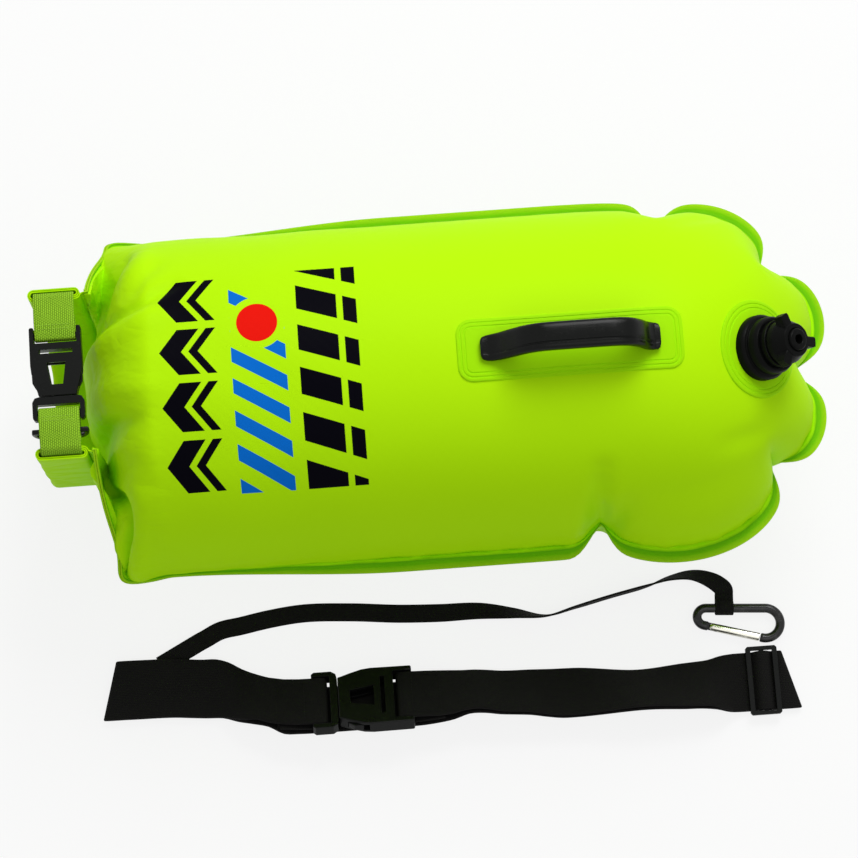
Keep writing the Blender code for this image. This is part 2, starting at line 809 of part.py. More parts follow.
def build_closure():
    """Roll, stiffener, straps, buckle and ring."""
    build_collar()
    height = collar_top + closure_buckle_lift
    origin = Vector((roll_place(), closure_buckle_shift, height))
    carrier = add_carrier("closure_buckle_seat", Matrix.Translation(origin))
    build_buckle("closure_buckle", closure_sizes, carrier)
    near_leg, far_leg = collar_offset - collar_half_span, collar_offset + collar_half_span
    plug_edge = closure_buckle_shift + plug_bar_edge(closure_sizes)
    socket_edge = closure_buckle_shift + socket_bar_edge(closure_sizes)
    ring_place = closure_buckle_shift - closure_sizes["plug_length"] - ring_gap_from_plug
    build_closure_strap("closure_strap_near", near_leg, plug_edge, height,
                        ring_place - ring_rod, 1)
    build_closure_strap("closure_strap_far", far_leg, socket_edge, height,
                        closure_buckle_shift + closure_sizes["socket_length"] + ring_rod, -1)
    build_tether_ring(Vector((roll_place(), ring_place, height)))


# Handle

def skin_band(x_low, x_high):
    """Sheet as thick as a patch that follows the front panel's skin past two limits of X."""
    rows = panel_rows(1)
    directions = outward(rows, 1)
    reach = [max(point.x for point in row) for row in rows]
    first = max(i for i, x in enumerate(reach) if x <= x_low)
    last = min(i for i, x in enumerate(reach) if x >= x_high) + 1
    low = clearance * 3 / 2 + panel_wall
    return shell([row[1:-1] for row in rows[first:last]], [line[1:-1] for line in directions[first:last]],
                 low, low + patch_thickness)


def build_handle_patch():
    """Welded rounded rectangle that follows the bag's skin under the handle."""
    half_length, half_width = handle_patch_length / 2, handle_patch_width / 2
    corner = handle_patch_corner
    a, b = half_length - corner, half_width - corner
    outline = []
    for x, y, start in ((a, b, 0), (-a, b, 90), (-a, -b, 180), (a, -b, 270)):
        outline += arc((handle_place + x, y), corner, corner, start, start + 90, 4)
    band = skin_band(handle_place - half_length, handle_place + half_length)
    patch = add_piece("handle_patch", band, neon_patch)
    tool = plate(outline, seam_height, seam_height + body_radius * 2)
    combine(patch, add_cutter("handle_patch_tool", tool), "INTERSECT")


def handle_seat():
    """Height of the patch's top under the handle."""
    return seam_height + body_radius + clearance * 3 / 2 + patch_thickness


def build_handle():
    """Arched grip: flat feet, two ramps and a thicker bar, as one moulding."""
    seat = handle_seat() + clearance
    half = handle_length / 2
    place_shares = (-1, -0.93, -0.82, -0.66, -0.5, -0.35, -0.15, 0.3, 0.5, 0.64, 0.76, 0.87, 0.95, 1)
    rise_shares = (0, 0, 0.1, 0.45, 0.8, 0.96, 1, 1, 0.97, 0.86, 0.55, 0.12, 0, 0)
    section_shares = ((-1, -0.7), (-1, 0.35), (-0.8, 0.85), (-0.45, 1), (0.45, 1), (0.8, 0.85),
                      (1, 0.35), (1, -0.7), (0.75, -1), (-0.75, -1))
    frames, sections = [], []
    points = []
    for place, rise in zip(place_shares, rise_shares):
        thick = handle_foot_thickness + (handle_thickness - handle_foot_thickness) * rise
        width = handle_foot_width + (handle_width - handle_foot_width) * rise
        points.append(Vector((handle_place + half * place, 0, seat + thick / 2 + handle_rise * rise)))
        sections.append([(width / 2 * a, thick / 2 * b) for a, b in section_shares])
    for i, point in enumerate(points):
        along = (points[min(i + 1, len(points) - 1)] - points[max(i - 1, 0)]).normalized()
        if rise_shares[i] in (0, 1):
            along = Vector((1, 0, 0))
        side = Vector((0, 1, 0))
        frames.append((point, side, along.cross(side)))
    add_piece("handle", sweep(sections, frames), gloss_black)


# Valve

def valve_matrix(front_panel):
    """Frame of the valve: origin on the bag's skin, Z square to it."""
    along, across = valve_place_share * valve_end_length, valve_side_shift
    up = body_radius * math.sqrt(1 - valve_place_share ** 2 - (across / body_radius) ** 2)
    normal = Vector((along / valve_end_length ** 2, across / body_radius ** 2, up / body_radius ** 2))
    normal.normalize()
    mesh = front_panel.data
    skin = BVHTree.FromPolygons([v.co for v in mesh.vertices], [p.vertices for p in mesh.polygons])
    start = Vector((tube_end + along, across, seam_height + up)) + normal * valve_patch_radius
    origin = skin.ray_cast(start, -normal)[0]
    x_axis = Vector((0, 1, 0)).cross(normal).normalized()
    return frame_matrix(origin, x_axis, normal.cross(x_axis), normal)


def build_valve_patch(seat, hole):
    """Welded disc that follows the bag's skin round the valve."""
    reach = valve_patch_radius
    patch = add_piece("valve_patch", skin_band(tube_end - reach, tube_end + valve_end_length - reach / 2),
                      neon_patch)
    disc = turned([(0, -reach), (reach, -reach), (reach, reach), (0, reach)], turned_sides * 2)
    combine(patch, add_cutter("valve_patch_tool", disc, seat), "INTERSECT")
    combine(patch, hole)


def build_valve(front_panel):
    """Base, stepped collar, turning knob, lifting stem and its seal."""
    seat = add_carrier("valve_seat", valve_matrix(front_panel))
    deep = valve_base_radius
    drill = turned([(0, -deep), (valve_hole_radius, -deep), (valve_hole_radius, deep), (0, deep)],
                   turned_sides)
    hole = add_cutter("valve_hole_cutter", drill, seat)
    combine(front_panel, hole)
    build_valve_patch(seat, hole)
    under = clearance * 2 + patch_thickness
    drop = valve_seat_drop
    base_top = valve_base_height
    base = [
        (valve_bore, -valve_barrel_depth), (valve_flange_radius, -valve_barrel_depth),
        (valve_flange_radius, -valve_barrel_depth + valve_flange_thickness),
        (valve_barrel_radius, -valve_barrel_depth + valve_flange_thickness),
        (valve_barrel_radius, under), (valve_base_radius, under - drop),
        (valve_base_radius, base_top * 0.55), (valve_base_radius * 0.94, base_top * 0.75),
        (valve_base_radius * 0.86, base_top * 0.78), (valve_base_radius * 0.86, base_top),
        (valve_neck_radius, base_top), (valve_neck_radius, valve_neck_height),
        (valve_bore, valve_neck_height),
    ]
    add_piece("valve_base", turned(base, turned_sides), black_plastic, seat)
    low = base_top + clearance
    high = low + valve_collar_height
    ring = [
        (valve_neck_radius + clearance, low), (valve_collar_radius, low),
        (valve_collar_radius, high - valve_collar_height * 0.3),
        (valve_collar_radius * 0.93, high), (valve_neck_radius + clearance, high),
    ]
    add_piece("valve_collar", turned(ring, turned_sides), black_plastic, seat)
    build_valve_knob(seat)
    stem_low = valve_neck_height - valve_seal_rod * 7
    groove = valve_stem_radius - valve_seal_rod
    tip = valve_neck_height + clearance + valve_knob_height + valve_tip_height
    mid = valve_neck_height - valve_seal_rod * 4
    stem = [
        (valve_stem_bore, stem_low), (valve_stem_radius, stem_low), (valve_stem_radius, mid - valve_seal_rod),
        (groove, mid - valve_seal_rod), (groove, mid + valve_seal_rod),
        (valve_stem_radius, mid + valve_seal_rod), (valve_stem_radius, tip - valve_tip_height / 3),
        (valve_stem_radius * 0.85, tip), (valve_stem_bore, tip),
    ]
    lift = add_carrier("valve_lift", Matrix.Identity(4), seat)
    add_piece("valve_stem", turned(stem, turned_sides), black_plastic, lift)
    rod = valve_seal_rod / 2 * 1.2
    middle = groove + clearance + rod
    seal = [(middle + a, mid + b) for a, b in circle(rod, 8)]
    add_piece("valve_seal", turned(seal, turned_sides), black_rubber, lift)


def build_valve_knob(seat):
    """Knob: a ring with its grip lugs, turned about the stem."""
    carrier = add_carrier("valve_turn", Matrix.Identity(4), seat)
    low = valve_neck_height + clearance
    high = low + valve_knob_height
    bore = valve_stem_radius + clearance
    top_radius = valve_knob_radius * 0.78
    profile = [
        (bore, low), (valve_knob_radius, low), (valve_knob_radius, low + valve_knob_height * 0.45),
        (top_radius, high - valve_knob_height * 0.12), (top_radius * 0.94, high), (bore, high),
    ]
    knob = add_piece("valve_knob", turned(profile, turned_sides), black_plastic, carrier)
    reach = valve_knob_radius + valve_lug_reach
    inner = (bore + top_radius) / 2
    half = valve_lug_width / 2
    outline = [(inner, -half), (reach - half, -half), (reach, -half / 2), (reach, half / 2),
               (reach - half, half), (inner, half)]
    for i in range(valve_lug_count):
        turn = 2 * math.pi * i / valve_lug_count
        placed = [(x * math.cos(turn) - y * math.sin(turn), x * math.sin(turn) + y * math.cos(turn))
                  for x, y in outline]
        lug = plate(placed, high - valve_knob_height * 0.62, high - valve_knob_height * 0.08)
        combine(knob, add_cutter("valve_lug_%d_tool" % i, lug, carrier), "UNION")


# Belt

belt_row_shares = (
    # along, sway, tilt, spread and raise, as shares of the belt's own sizes
    (0.0, 0.0, 0.0, 0.53, 1.0),
    (0.07, 0.02, 0.0, 0.53, 1.0),
    (0.15, 0.12, 0.0, 0.53, 1.0),
    (0.215, 0.5, 0.75, 0.7, 0.2),
    (0.25, 0.78, 0.75, 1.0, 0.0),
    (0.285, 0.82, 0.75, 1.0, 0.0),
    (0.445, 0.82, 0.75, 1.0, 0.0),
    (0.48, 0.78, 0.75, 1.0, 0.0),
    (0.53, 0.7, 0.95, 0.55, 0.0),
    (0.59, 0.8, 0.88, 0.4, 0.0),
    (0.67, 0.9, 0.68, 0.4, 0.0),
    (0.78, 0.97, 1.0, 0.4, 0.0),
    (0.87, 0.95, 0.78, 0.4, 0.0),
    (0.93, 0.92, 0.0, 0.4, 0.0),
    (1.0, 0.92, 0.0, 0.4, 0.0),
)


def belt_row(share):
    """Values of the belt at a share of its length."""
    for low, high in zip(belt_row_shares, belt_row_shares[1:]):
        if share <= high[0]:
            break
    blend = smooth_step(low[0], high[0], share)
    return [a + (b - a) * blend for a, b in zip(low, high)]


def belt_frame(share):
    """Middle of the belt's two layers there, and its long, cross and upward axes."""
    _, sway, tilt, spread, lift = belt_row(share)
    turn = tilt * belt_tilt
    half = belt_width / 2
    wide = belt_sizes["slot_width"] / 2 + belt_sizes["rail"]
    half += (wide - half) * smooth_step(belt_open_share, 1, spread)
    gap = spread * belt_spread
    height = math.sin(turn) * half + math.cos(turn) * (gap + belt_thickness) / 2
    height += lift * belt_raise + clearance
    origin = Vector((belt_left + share * belt_length, belt_near - sway * belt_sway, height))
    cross = Vector((0, math.cos(turn), -math.sin(turn)))
    up = Vector((0, math.sin(turn), math.cos(turn)))
    return origin, Vector((1, 0, 0)), cross, up, gap


def belt_buckle_matrix():
    """Frame of the belt buckle on the upper layer."""
    origin, along, cross, up, gap = belt_frame(belt_buckle_share)
    return frame_matrix(origin + up * gap / 2, -cross, along, up)


def slider_lay():
    """Height of the slider's middle over the webbing under its outer bars."""
    return belt_thickness / 2 + clearance + slider_thickness / 2


def belt_path():
    """Stations of the webbing: share of the belt's length, and height over its middle."""
    lay = belt_sizes["bar_thickness"] / 2 + clearance + belt_thickness / 2
    plug_edge = belt_buckle_share + (plug_bar_edge(belt_sizes) - clearance) / belt_length
    socket_edge = belt_buckle_share + (socket_bar_edge(belt_sizes) + clearance) / belt_length
    loop = belt_sizes["strap_slot"] / 2 / belt_length
    middle = belt_frame(belt_buckle_share)[4] / 2
    lap = belt_sizes["plug_length"] / belt_length
    near_plug = belt_buckle_share - 2.6 * lap
    past_socket = belt_buckle_share + (belt_sizes["socket_length"] * 1.5) / belt_length

    def level(share, side):
        return share, side * belt_frame(share)[4] / 2

    turns = [math.radians(d) for d in (0, 45, 90, 135, 180)]
    under = middle - lay
    path = [(near_plug + lap / 3, under), (plug_edge - lap / 3, under)]
    path += [(plug_edge + loop * math.sin(a), middle - lay * math.cos(a)) for a in turns]
    path += [(plug_edge - lap / 3, middle + lay)]
    count = belt_row_count // 4
    path += [level(near_plug * (1 - i / count), 1) for i in range(count)]
    radius_share = belt_frame(0)[4] / 2
    path += [(-radius_share * math.sin(a) / belt_length, radius_share * math.cos(a)) for a in turns]
    path += [level(i / belt_row_count, -1) for i in range(1, belt_row_count)]
    radius_share = belt_frame(1)[4] / 2
    path += [(1 + radius_share * math.sin(a) / belt_length, -radius_share * math.cos(a)) for a in turns]
    edge = (slider_bar * 3 / 2 + slider_slot) / belt_length
    low_turn, high_turn = ((slider_bar / 2 + slider_slot * turn) / belt_length for turn in slider_turn_shares)
    over = belt_frame(slider_share)[4] / 2 + slider_lay() + slider_bar_thickness / 2 + clearance
    over += belt_thickness / 2
    path += [level(slider_share + edge, 1), level(slider_share + low_turn, 1)]
    path += [(slider_share + high_turn, over), (slider_share - high_turn, over)]
    path += [level(slider_share - low_turn, 1)]
    start = slider_share - edge
    count = belt_row_count // 2
    path += [level(start - (start - past_socket) * i / count, 1) for i in range(count + 1)]
    path += [(socket_edge + lap / 2, middle + lay)]
    path += [(socket_edge - loop * math.sin(a), middle + lay * math.cos(a)) for a in turns]
    path += [(socket_edge + lap / 2, under), (past_socket - lap / 4, under)]
    return path


def build_belt():
    """Belt webbing with its buckle."""
    path = belt_path()
    centres = []
    for share, lift in path:
        origin, along, cross, up, _ = belt_frame(min(max(share, 0), 1))
        past = (share - min(max(share, 0), 1)) * belt_length
        centres.append((origin + along * past + up * lift, along, cross))
    frames = []
    for i, (centre, along, cross) in enumerate(centres):
        before = centres[max(i - 1, 0)][0]
        after = centres[min(i + 1, len(centres) - 1)][0]
        share = min(max(path[i][0], 0), 1)
        lean = 1 - smooth_step(0, belt_end_shares[0], share) - smooth_step(belt_end_shares[1], 1, share)
        lean *= belt_end_skew
        tangent = (after - before).normalized()
        frames.append((centre, cross + along * lean, tangent.cross(cross)))
    add_piece("belt_webbing", sweep(rectangle(belt_width, belt_thickness), frames), black_webbing)
    carrier = add_carrier("belt_buckle_seat", belt_buckle_matrix())
    build_buckle("belt_buckle", belt_sizes, carrier)
    build_slider()


def build_slider():
    """Slider on the belt's upper layer: two rails, two outer bars over the webbing, one bar under it."""
    origin, along, cross, up, gap = belt_frame(slider_share)
    seat = add_carrier("belt_slider_seat",
                       frame_matrix(origin + up * (gap / 2 + slider_lay()), -cross, along, up))
    slot_half = belt_sizes["slot_width"] / 2
    half, length = slot_half + slider_rail, slider_bar * 3 / 2 + slider_slot
    corner = slider_rail / 2
    outline = [(half, -length + corner), (half, length - corner), (half - corner, length)]
    slider = add_piece("belt_slider", plate(mirrored([(half - corner, -length)] + outline),
                                            -slider_thickness / 2, slider_thickness / 2), black_plastic, seat)
    bar, top = slider_bar / 2, slider_bar_thickness / 2
    across, through = (-slot_half, slot_half), (-slider_thickness, slider_thickness)
    cuts = {
        "near_slot": block(across, (-bar - slider_slot, -bar), through),
        "far_slot": block(across, (bar, bar + slider_slot), through),
        "over_bar": block(across, (-bar, bar), (top, slider_thickness)),
        "under_bar": block(across, (-bar, bar), (-slider_thickness, -top)),
    }
    for key, bm in cuts.items():
        combine(slider, add_cutter("belt_slider_" + key + "_cutter", bm, seat))


# Tether and carabiner

tether_route = (
    # x, y and z in metres, chosen by hand along the floor
    (-0.1540, -0.1330, 0.00330), (-0.1450, -0.1285, 0.00200), (-0.1310, -0.1260, 0.00100),
    (-0.1120, -0.1228, 0.00100), (-0.0919, -0.1208, 0.00100), (-0.0594, -0.1222, 0.00100),
    (-0.0270, -0.1255, 0.00100), (-0.0009, -0.1270, 0.00160), (0.0252, -0.1278, 0.00320),
    (0.0470, -0.1312, 0.00560), (0.0684, -0.1345, 0.00640), (0.0866, -0.1305, 0.00640),
    (0.1105, -0.1250, 0.00640), (0.1365, -0.1195, 0.00640), (0.1506, -0.1158, 0.00640),
    (0.1652, -0.1150, 0.00600), (0.1750, -0.1180, 0.00500), (0.1812, -0.1218, 0.00440),
    (0.1843, -0.1259, 0.00420), (0.1845, -0.1289, 0.00420),
)
tether_turns = (0, 0, 0, 0, 0, 0, 0, 5, 20, 50, 80, 88, 90, 86, 70, 48, 25, 8, 0, 0)


def tether_frames():
    """Frames of the free stretch, with the webbing's twist."""
    rows = [(*point, turn) for point, turn in zip(tether_route, tether_turns)]
    rows = smooth_curve(rows, tether_step_count)
    frames = []
    for i, (x, y, z, degrees) in enumerate(rows):
        before, after = Vector(rows[max(i - 1, 0)][:3]), Vector(rows[min(i + 1, len(rows) - 1)][:3])
        along = (after - before).normalized()
        flat = Vector((-along.y, along.x, 0)).normalized()
        upright = along.cross(flat)
        turn = math.radians(min(max(degrees, 0), 90))
        side = flat * math.cos(turn) - upright * math.sin(turn)
        frames.append((Vector((x, y, z)), side, along.cross(side)))
    return frames


def build_tether():
    """Free stretch, and its end sewn flat to the belt's lower layer."""
    section = rectangle(tether_width, tether_thickness)
    frames = tether_frames()
    add_piece("tether_webbing", sweep(section, frames), black_webbing)
    start, _, _ = frames[0]
    origin, _, _, _, gap = belt_frame((tether_tab_place - belt_left) / belt_length)
    level = origin.z - gap / 2 + belt_thickness / 2 + clearance + tether_thickness / 2
    along = (frames[0][0] - frames[1][0]).normalized()
    along = Vector((along.x, along.y, 0)).normalized()
    side = Vector((-along.y, along.x, 0))
    up = Vector((0, 0, 1))
    near = start + along * clearance
    tab = []
    for share, height in ((0, start.z), (0.15, level), (1, level)):
        point = near + along * tether_tab_length * share
        tab.append((Vector((point.x, point.y, height)), side, up))
    add_piece("tether_belt_tab", sweep(section, tab), black_webbing)


def carabiner_matrix():
    """Frame of the carabiner: X along its spine, +Y toward its gate, on the floor."""
    along = Vector((math.cos(carabiner_turn), math.sin(carabiner_turn), 0))
    up = Vector((0, 0, -1))
    return frame_matrix(Vector((*carabiner_place, carabiner_height())), along, up.cross(along), up)


def carabiner_height():
    """Height of the rod's middle: it lies on the tether's loop."""
    return carabiner_rod / 2 + tether_thickness + clearance * 2


def gate_line():
    """Ends of the line that the gate and the rod's two ends share, and its angle."""
    small, large = carabiner_small_radius, carabiner_large_radius
    angle = math.asin((large - small) / math.hypot(carabiner_spine, large - small))
    turn = Vector((-math.sin(angle), math.cos(angle)))
    start = Vector((0, small)) + turn * small
    end = Vector((carabiner_spine, large)) + turn * large
    return start, end, math.atan2(end.y - start.y, end.x - start.x)


def build_carabiner():
    """Bent rod, gate with its fork and spring, and the pin."""
    seat = add_carrier("carabiner_seat", carabiner_matrix())
    small, large = carabiner_small_radius, carabiner_large_radius
    start, end, angle = gate_line()
    degrees = math.degrees(angle)
    span = end - start
    hinge = start + span * carabiner_hinge_share
    nose = start + span * carabiner_nose_share
    tongue_reach = carabiner_gate_rod / 2
    gap = tongue_reach + clearance
    path = [tuple(hinge - span.normalized() * gap)]
    path += arc((0, small), small, small, 90 + degrees, 270, 8)
    path += arc((carabiner_spine, large), large, large, -90, 90 + degrees, 12)
    path += [tuple(nose + span.normalized() * clearance)]
    frames = []
    for i, point in enumerate(path):
        before, after = Vector(path[max(i - 1, 0)]), Vector(path[min(i + 1, len(path) - 1)])
        along = (after - before).normalized()
        frames.append((Vector((*point, 0)), Vector((-along.y, along.x, 0)), Vector((0, 0, 1))))
    rod = circle(carabiner_rod / 2, rod_sides)
    body = add_piece("carabiner_body", sweep(rod, frames), anodised_black, seat)
    turn = Matrix.Rotation(angle, 4, "Z")
    half = carabiner_tongue / 2
    tongue = arc((0, 0), tongue_reach * 0.9, tongue_reach * 0.9, -90, 90, 6)
    tongue += [(-gap * 1.5, tongue_reach * 0.9), (-gap * 1.5, -tongue_reach * 0.9)]
    tool = add_cutter("carabiner_tongue_tool", plate(tongue, -half, half), seat)
    tool.matrix_local = Matrix.Translation((*hinge, 0)) @ turn
    combine(body, tool, "UNION")
    pivot = add_carrier("carabiner_gate_pivot", Matrix.Translation((*hinge, 0)) @ turn, seat)
    build_gate(pivot, (nose - hinge).length, body, seat, hinge, turn)


def build_gate(pivot, length, body, seat, hinge, turn):
    """Hollow gate, forked over the rod's tongue, with its spring and pin."""
    radius = carabiner_gate_rod / 2
    bore = carabiner_gate_bore / 2
    deep = length * 0.72
    floor = radius + clearance
    x_axis, y_axis, z_axis = Vector((0, 1, 0)), Vector((0, 0, 1)), Vector((1, 0, 0))
    lying = frame_matrix(Vector((0, 0, 0)), x_axis, y_axis, z_axis)
    profile = [(0, deep), (bore, deep), (bore, -math.sqrt(radius ** 2 - bore ** 2))]
    profile += [(radius * math.sin(a), -radius * math.cos(a)) for a in (math.radians(d) for d in (45, 68, 90))]
    profile += [(radius, length - radius * 0.2), (radius * 0.85, length - clearance), (0, length - clearance)]
    bm = turned(profile, 12)
    bmesh.ops.transform(bm, matrix=lying, verts=bm.verts)
    gate = add_piece("carabiner_gate", bm, bright_steel, pivot)
    fork = block((-radius * 2, floor), (-radius * 2, radius * 2),
                 (-carabiner_fork_slot / 2, carabiner_fork_slot / 2))
    combine(gate, add_cutter("carabiner_fork_cutter", fork, pivot))
    hole = carabiner_pin_radius + clearance
    drill = turned([(0, -carabiner_rod), (hole, -carabiner_rod), (hole, carabiner_rod), (0, carabiner_rod)], 10)
    bore_tool = add_cutter("carabiner_pin_cutter", drill, pivot)
    combine(gate, bore_tool)
    body_drill = turned([(0, -carabiner_rod), (hole, -carabiner_rod), (hole, carabiner_rod),
                         (0, carabiner_rod)], 10)
    body_tool = add_cutter("carabiner_tongue_cutter", body_drill, seat)
    body_tool.matrix_local = Matrix.Translation((*hinge, 0)) @ turn
    combine(body, body_tool)
    pin = turned([(0, -radius), (carabiner_pin_radius, -radius), (carabiner_pin_radius, radius), (0, radius)], 10)
    holder = add_piece("carabiner_pin", pin, bright_steel, seat)
    holder.matrix_local = Matrix.Translation((*hinge, 0)) @ turn
    wire = circle(carabiner_spring_rod / 2, 6)
    coil = bore - carabiner_spring_rod / 2 - clearance
    coils = carabiner_spring_turns
    low, high = floor + clearance, deep - carabiner_spring_rod
    frames = []
    for i in range(coils * 10 + 1):
        a = 2 * math.pi * i / 10
        out = Vector((0, math.cos(a), math.sin(a)))
        place = Vector((low + (high - low) * i / (coils * 10), 0, 0)) + out * coil
        frames.append((place, out, Vector((1, 0, 0))))
    add_piece("carabiner_spring", sweep(wire, frames), bright_steel, pivot)


def build_clip_loop():
    """Sewn loop of the tether round the carabiner's spine."""
    end, _, _ = tether_frames()[-1]
    matrix = carabiner_matrix()
    height = carabiner_height()
    lay = carabiner_rod / 2 + clearance + tether_thickness / 2
    spine = matrix @ Vector(((end - matrix.translation).dot(matrix.col[0].to_3d()), 0, 0))
    spine.z = 0
    away = Vector((end.x, end.y, 0)) - spine
    reach = away.length - clearance
    ply = (tether_thickness + clearance) / 2
    path = [(reach, end.z - ply), (lay + tether_thickness, end.z - ply)]
    path += arc((0, height), lay, lay, -30, -330, 10)
    path += [(lay + tether_thickness, end.z + ply), (reach, end.z + ply)]
    loop = add_piece("tether_clip_loop", strip(path, tether_thickness, tether_width), black_webbing)
    away.normalize()
    loop.matrix_world = frame_matrix(spine, away, (0, 0, 1), away.cross(Vector((0, 0, 1))))


def build():
    """Build every piece."""
    clear_scene()
    front_panel = build_panel("front_panel", 1)
    build_panel("back_panel", -1)
    build_closure()
    build_handle_patch()
    build_handle()
    build_valve(front_panel)
    build_belt()
    build_tether()
    build_carabiner()
    build_clip_loop()
    bpy.context.view_layer.update()


build()
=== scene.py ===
import math

import bmesh
import bpy
import numpy as np
from mathutils import Matrix, Vector
from mathutils.bvhtree import BVHTree


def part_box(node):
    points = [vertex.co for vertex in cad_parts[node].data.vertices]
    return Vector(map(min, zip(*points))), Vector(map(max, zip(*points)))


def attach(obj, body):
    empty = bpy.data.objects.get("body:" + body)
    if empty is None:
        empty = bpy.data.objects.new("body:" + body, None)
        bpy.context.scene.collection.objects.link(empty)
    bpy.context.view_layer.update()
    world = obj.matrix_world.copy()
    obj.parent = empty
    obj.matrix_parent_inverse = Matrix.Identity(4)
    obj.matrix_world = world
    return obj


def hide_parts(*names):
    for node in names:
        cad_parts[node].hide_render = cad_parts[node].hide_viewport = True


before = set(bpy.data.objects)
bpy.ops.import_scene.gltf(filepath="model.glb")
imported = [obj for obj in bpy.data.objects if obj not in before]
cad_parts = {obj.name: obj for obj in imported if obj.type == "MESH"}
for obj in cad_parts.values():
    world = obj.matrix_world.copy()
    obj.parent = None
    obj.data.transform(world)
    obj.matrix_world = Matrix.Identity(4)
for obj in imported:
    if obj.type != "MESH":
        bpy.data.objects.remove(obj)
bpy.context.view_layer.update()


# Camera, floor and light
# The photograph looks down from a little in front, with the bag turned by four degrees, on pure
# white. The floor is pale in itself and whiter to the camera, and keeps the object's shadow.

camera_place = Vector((-0.0305, -0.4326, 2.1117))
camera_target = Vector((0.00097, -0.00407, 0))
image_up = Vector((0.0732, 0.9973, 0))
view_width = math.radians(14.97)


def put(name, data):
    """Object of a mesh, lamp or camera, in the scene."""
    thing = bpy.data.objects.new(name, data)
    bpy.context.collection.objects.link(thing)
    return thing


lens = bpy.data.cameras.new("camera")
lens.angle = view_width
camera = put("camera", lens)
gaze = (camera_target - camera_place).normalized()
image_right = gaze.cross(image_up).normalized()
camera.matrix_world = Matrix.Translation(camera_place) @ Matrix(
    (image_right, image_right.cross(gaze), -gaze)).transposed().to_4x4()
bpy.context.scene.camera = camera
bpy.context.scene.view_settings.view_transform = "Standard"


class Wire:
    """Output of a node. Arithmetic on it adds Math nodes."""

    def __init__(self, finish, socket):
        self.finish, self.socket = finish, socket

    def maths(self, operation, *others):
        return self.finish.maths(operation, self, *others)

    def __add__(self, other):
        return self.maths("ADD", other)

    def __sub__(self, other):
        return self.maths("SUBTRACT", other)

    def __rsub__(self, other):
        return self.finish.maths("SUBTRACT", other, self)

    def __mul__(self, other):
        return self.maths("MULTIPLY", other)

    def __truediv__(self, other):
        return self.maths("DIVIDE", other)

    def __abs__(self):
        return self.maths("ABSOLUTE")

    __radd__ = __add__
    __rmul__ = __mul__


class Finish:
    """Material or world in the making: adds nodes to its tree and feeds its shader."""

    def __init__(self, name, owner=None):
        self.owner = owner or bpy.data.materials.new(name)
        self.owner.use_nodes = True
        self.tree = self.owner.node_tree
        self.shader = self.tree.nodes.get("Principled BSDF")

    def node(self, kind, settings=None, inputs=None, out=0):
        made = self.tree.nodes.new(kind)
        for key, value in (settings or {}).items():
            if key == "stops":
                stops = made.color_ramp.elements
                stops.remove(stops[1])
                stops[0].position, stops[0].color = value[0][0], (*value[0][1], 1)
                for place, colour in value[1:]:
                    stops.new(place).color = (*colour, 1)
            else:
                setattr(made, key, value)
        for key, value in (inputs or {}).items():
            self.join(value, made.inputs[key])
        return Wire(self, made.outputs[out])

    def join(self, value, socket):
        if isinstance(value, Wire):
            self.tree.links.new(value.socket, socket)
        else:
            socket.default_value = value

    def maths(self, operation, *values):
        return self.node("ShaderNodeMath", {"operation": operation}, dict(enumerate(values)))

    def limited(self, value):
        return self.node("ShaderNodeClamp", inputs={"Value": value})

    def mix(self, share, first, second):
        """Colour between two, each a colour's three values or a wire."""
        first, second = (c if isinstance(c, Wire) else (*c, 1) for c in (first, second))
        return self.node("ShaderNodeMix", {"data_type": "RGBA"}, {0: share, 6: first, 7: second}, out=2)

    def place(self):
        """Object coordinates, in metres."""
        return self.node("ShaderNodeTexCoord", out=3)

    def noise(self, where, scale, detail=2.0):
        return self.node("ShaderNodeTexNoise", inputs={"Vector": where, "Scale": scale, "Detail": detail})

    def parts(self, vector):
        """The three values of a vector."""
        split = self.node("ShaderNodeSeparateXYZ", inputs={0: vector}).socket.node
        return [Wire(self, socket) for socket in split.outputs]

    def bump(self, height, distance):
        return self.node("ShaderNodeBump", inputs={"Height": height, "Distance": distance})

    def feed(self, **values):
        for key, value in values.items():
            name = key.replace("_", " ").title().replace("Ior", "IOR")
            if name == "Base Color" and not isinstance(value, Wire):
                value = (*value, 1)
            self.join(value, self.shader.inputs[name])
        return self.owner


floor_colour = (0.86, 0.86, 0.86)
floor_kept_shadow = 0.16
floor_size = 4.0
floor_drop = 0.0006
floor_mesh = bpy.data.meshes.new("floor")
floor_corners = [(x * floor_size / 2, y * floor_size / 2, -floor_drop)
                 for x, y in ((-1, -1), (1, -1), (1, 1), (-1, 1))]
floor_mesh.from_pydata(floor_corners, [], [(0, 1, 2, 3)])
floor = put("floor", floor_mesh)
floor_finish = Finish("floor")
floor_finish.feed(base_color=floor_colour, roughness=0.9)


def seen_directly(finish):
    """1 for rays from the camera or off a mirror-like or clear surface, else 0."""
    path = finish.node("ShaderNodeLightPath").socket.node.outputs
    camera_ray, glossy, through = (Wire(finish, path[name]) for name in
                                   ("Is Camera Ray", "Is Glossy Ray", "Is Transmission Ray"))
    return finish.limited(camera_ray + glossy + through)


white_glow = floor_finish.node("ShaderNodeEmission", inputs={"Color": (1, 1, 1, 1), "Strength": 1.0})
lit_floor = Wire(floor_finish, floor_finish.shader.outputs[0])
floor_mixed = floor_finish.node("ShaderNodeMixShader", inputs={
    0: seen_directly(floor_finish) * (1 - floor_kept_shadow), 1: lit_floor, 2: white_glow})
floor_finish.join(floor_mixed, floor_finish.tree.nodes["Material Output"].inputs["Surface"])
floor_mesh.materials.append(floor_finish.owner)

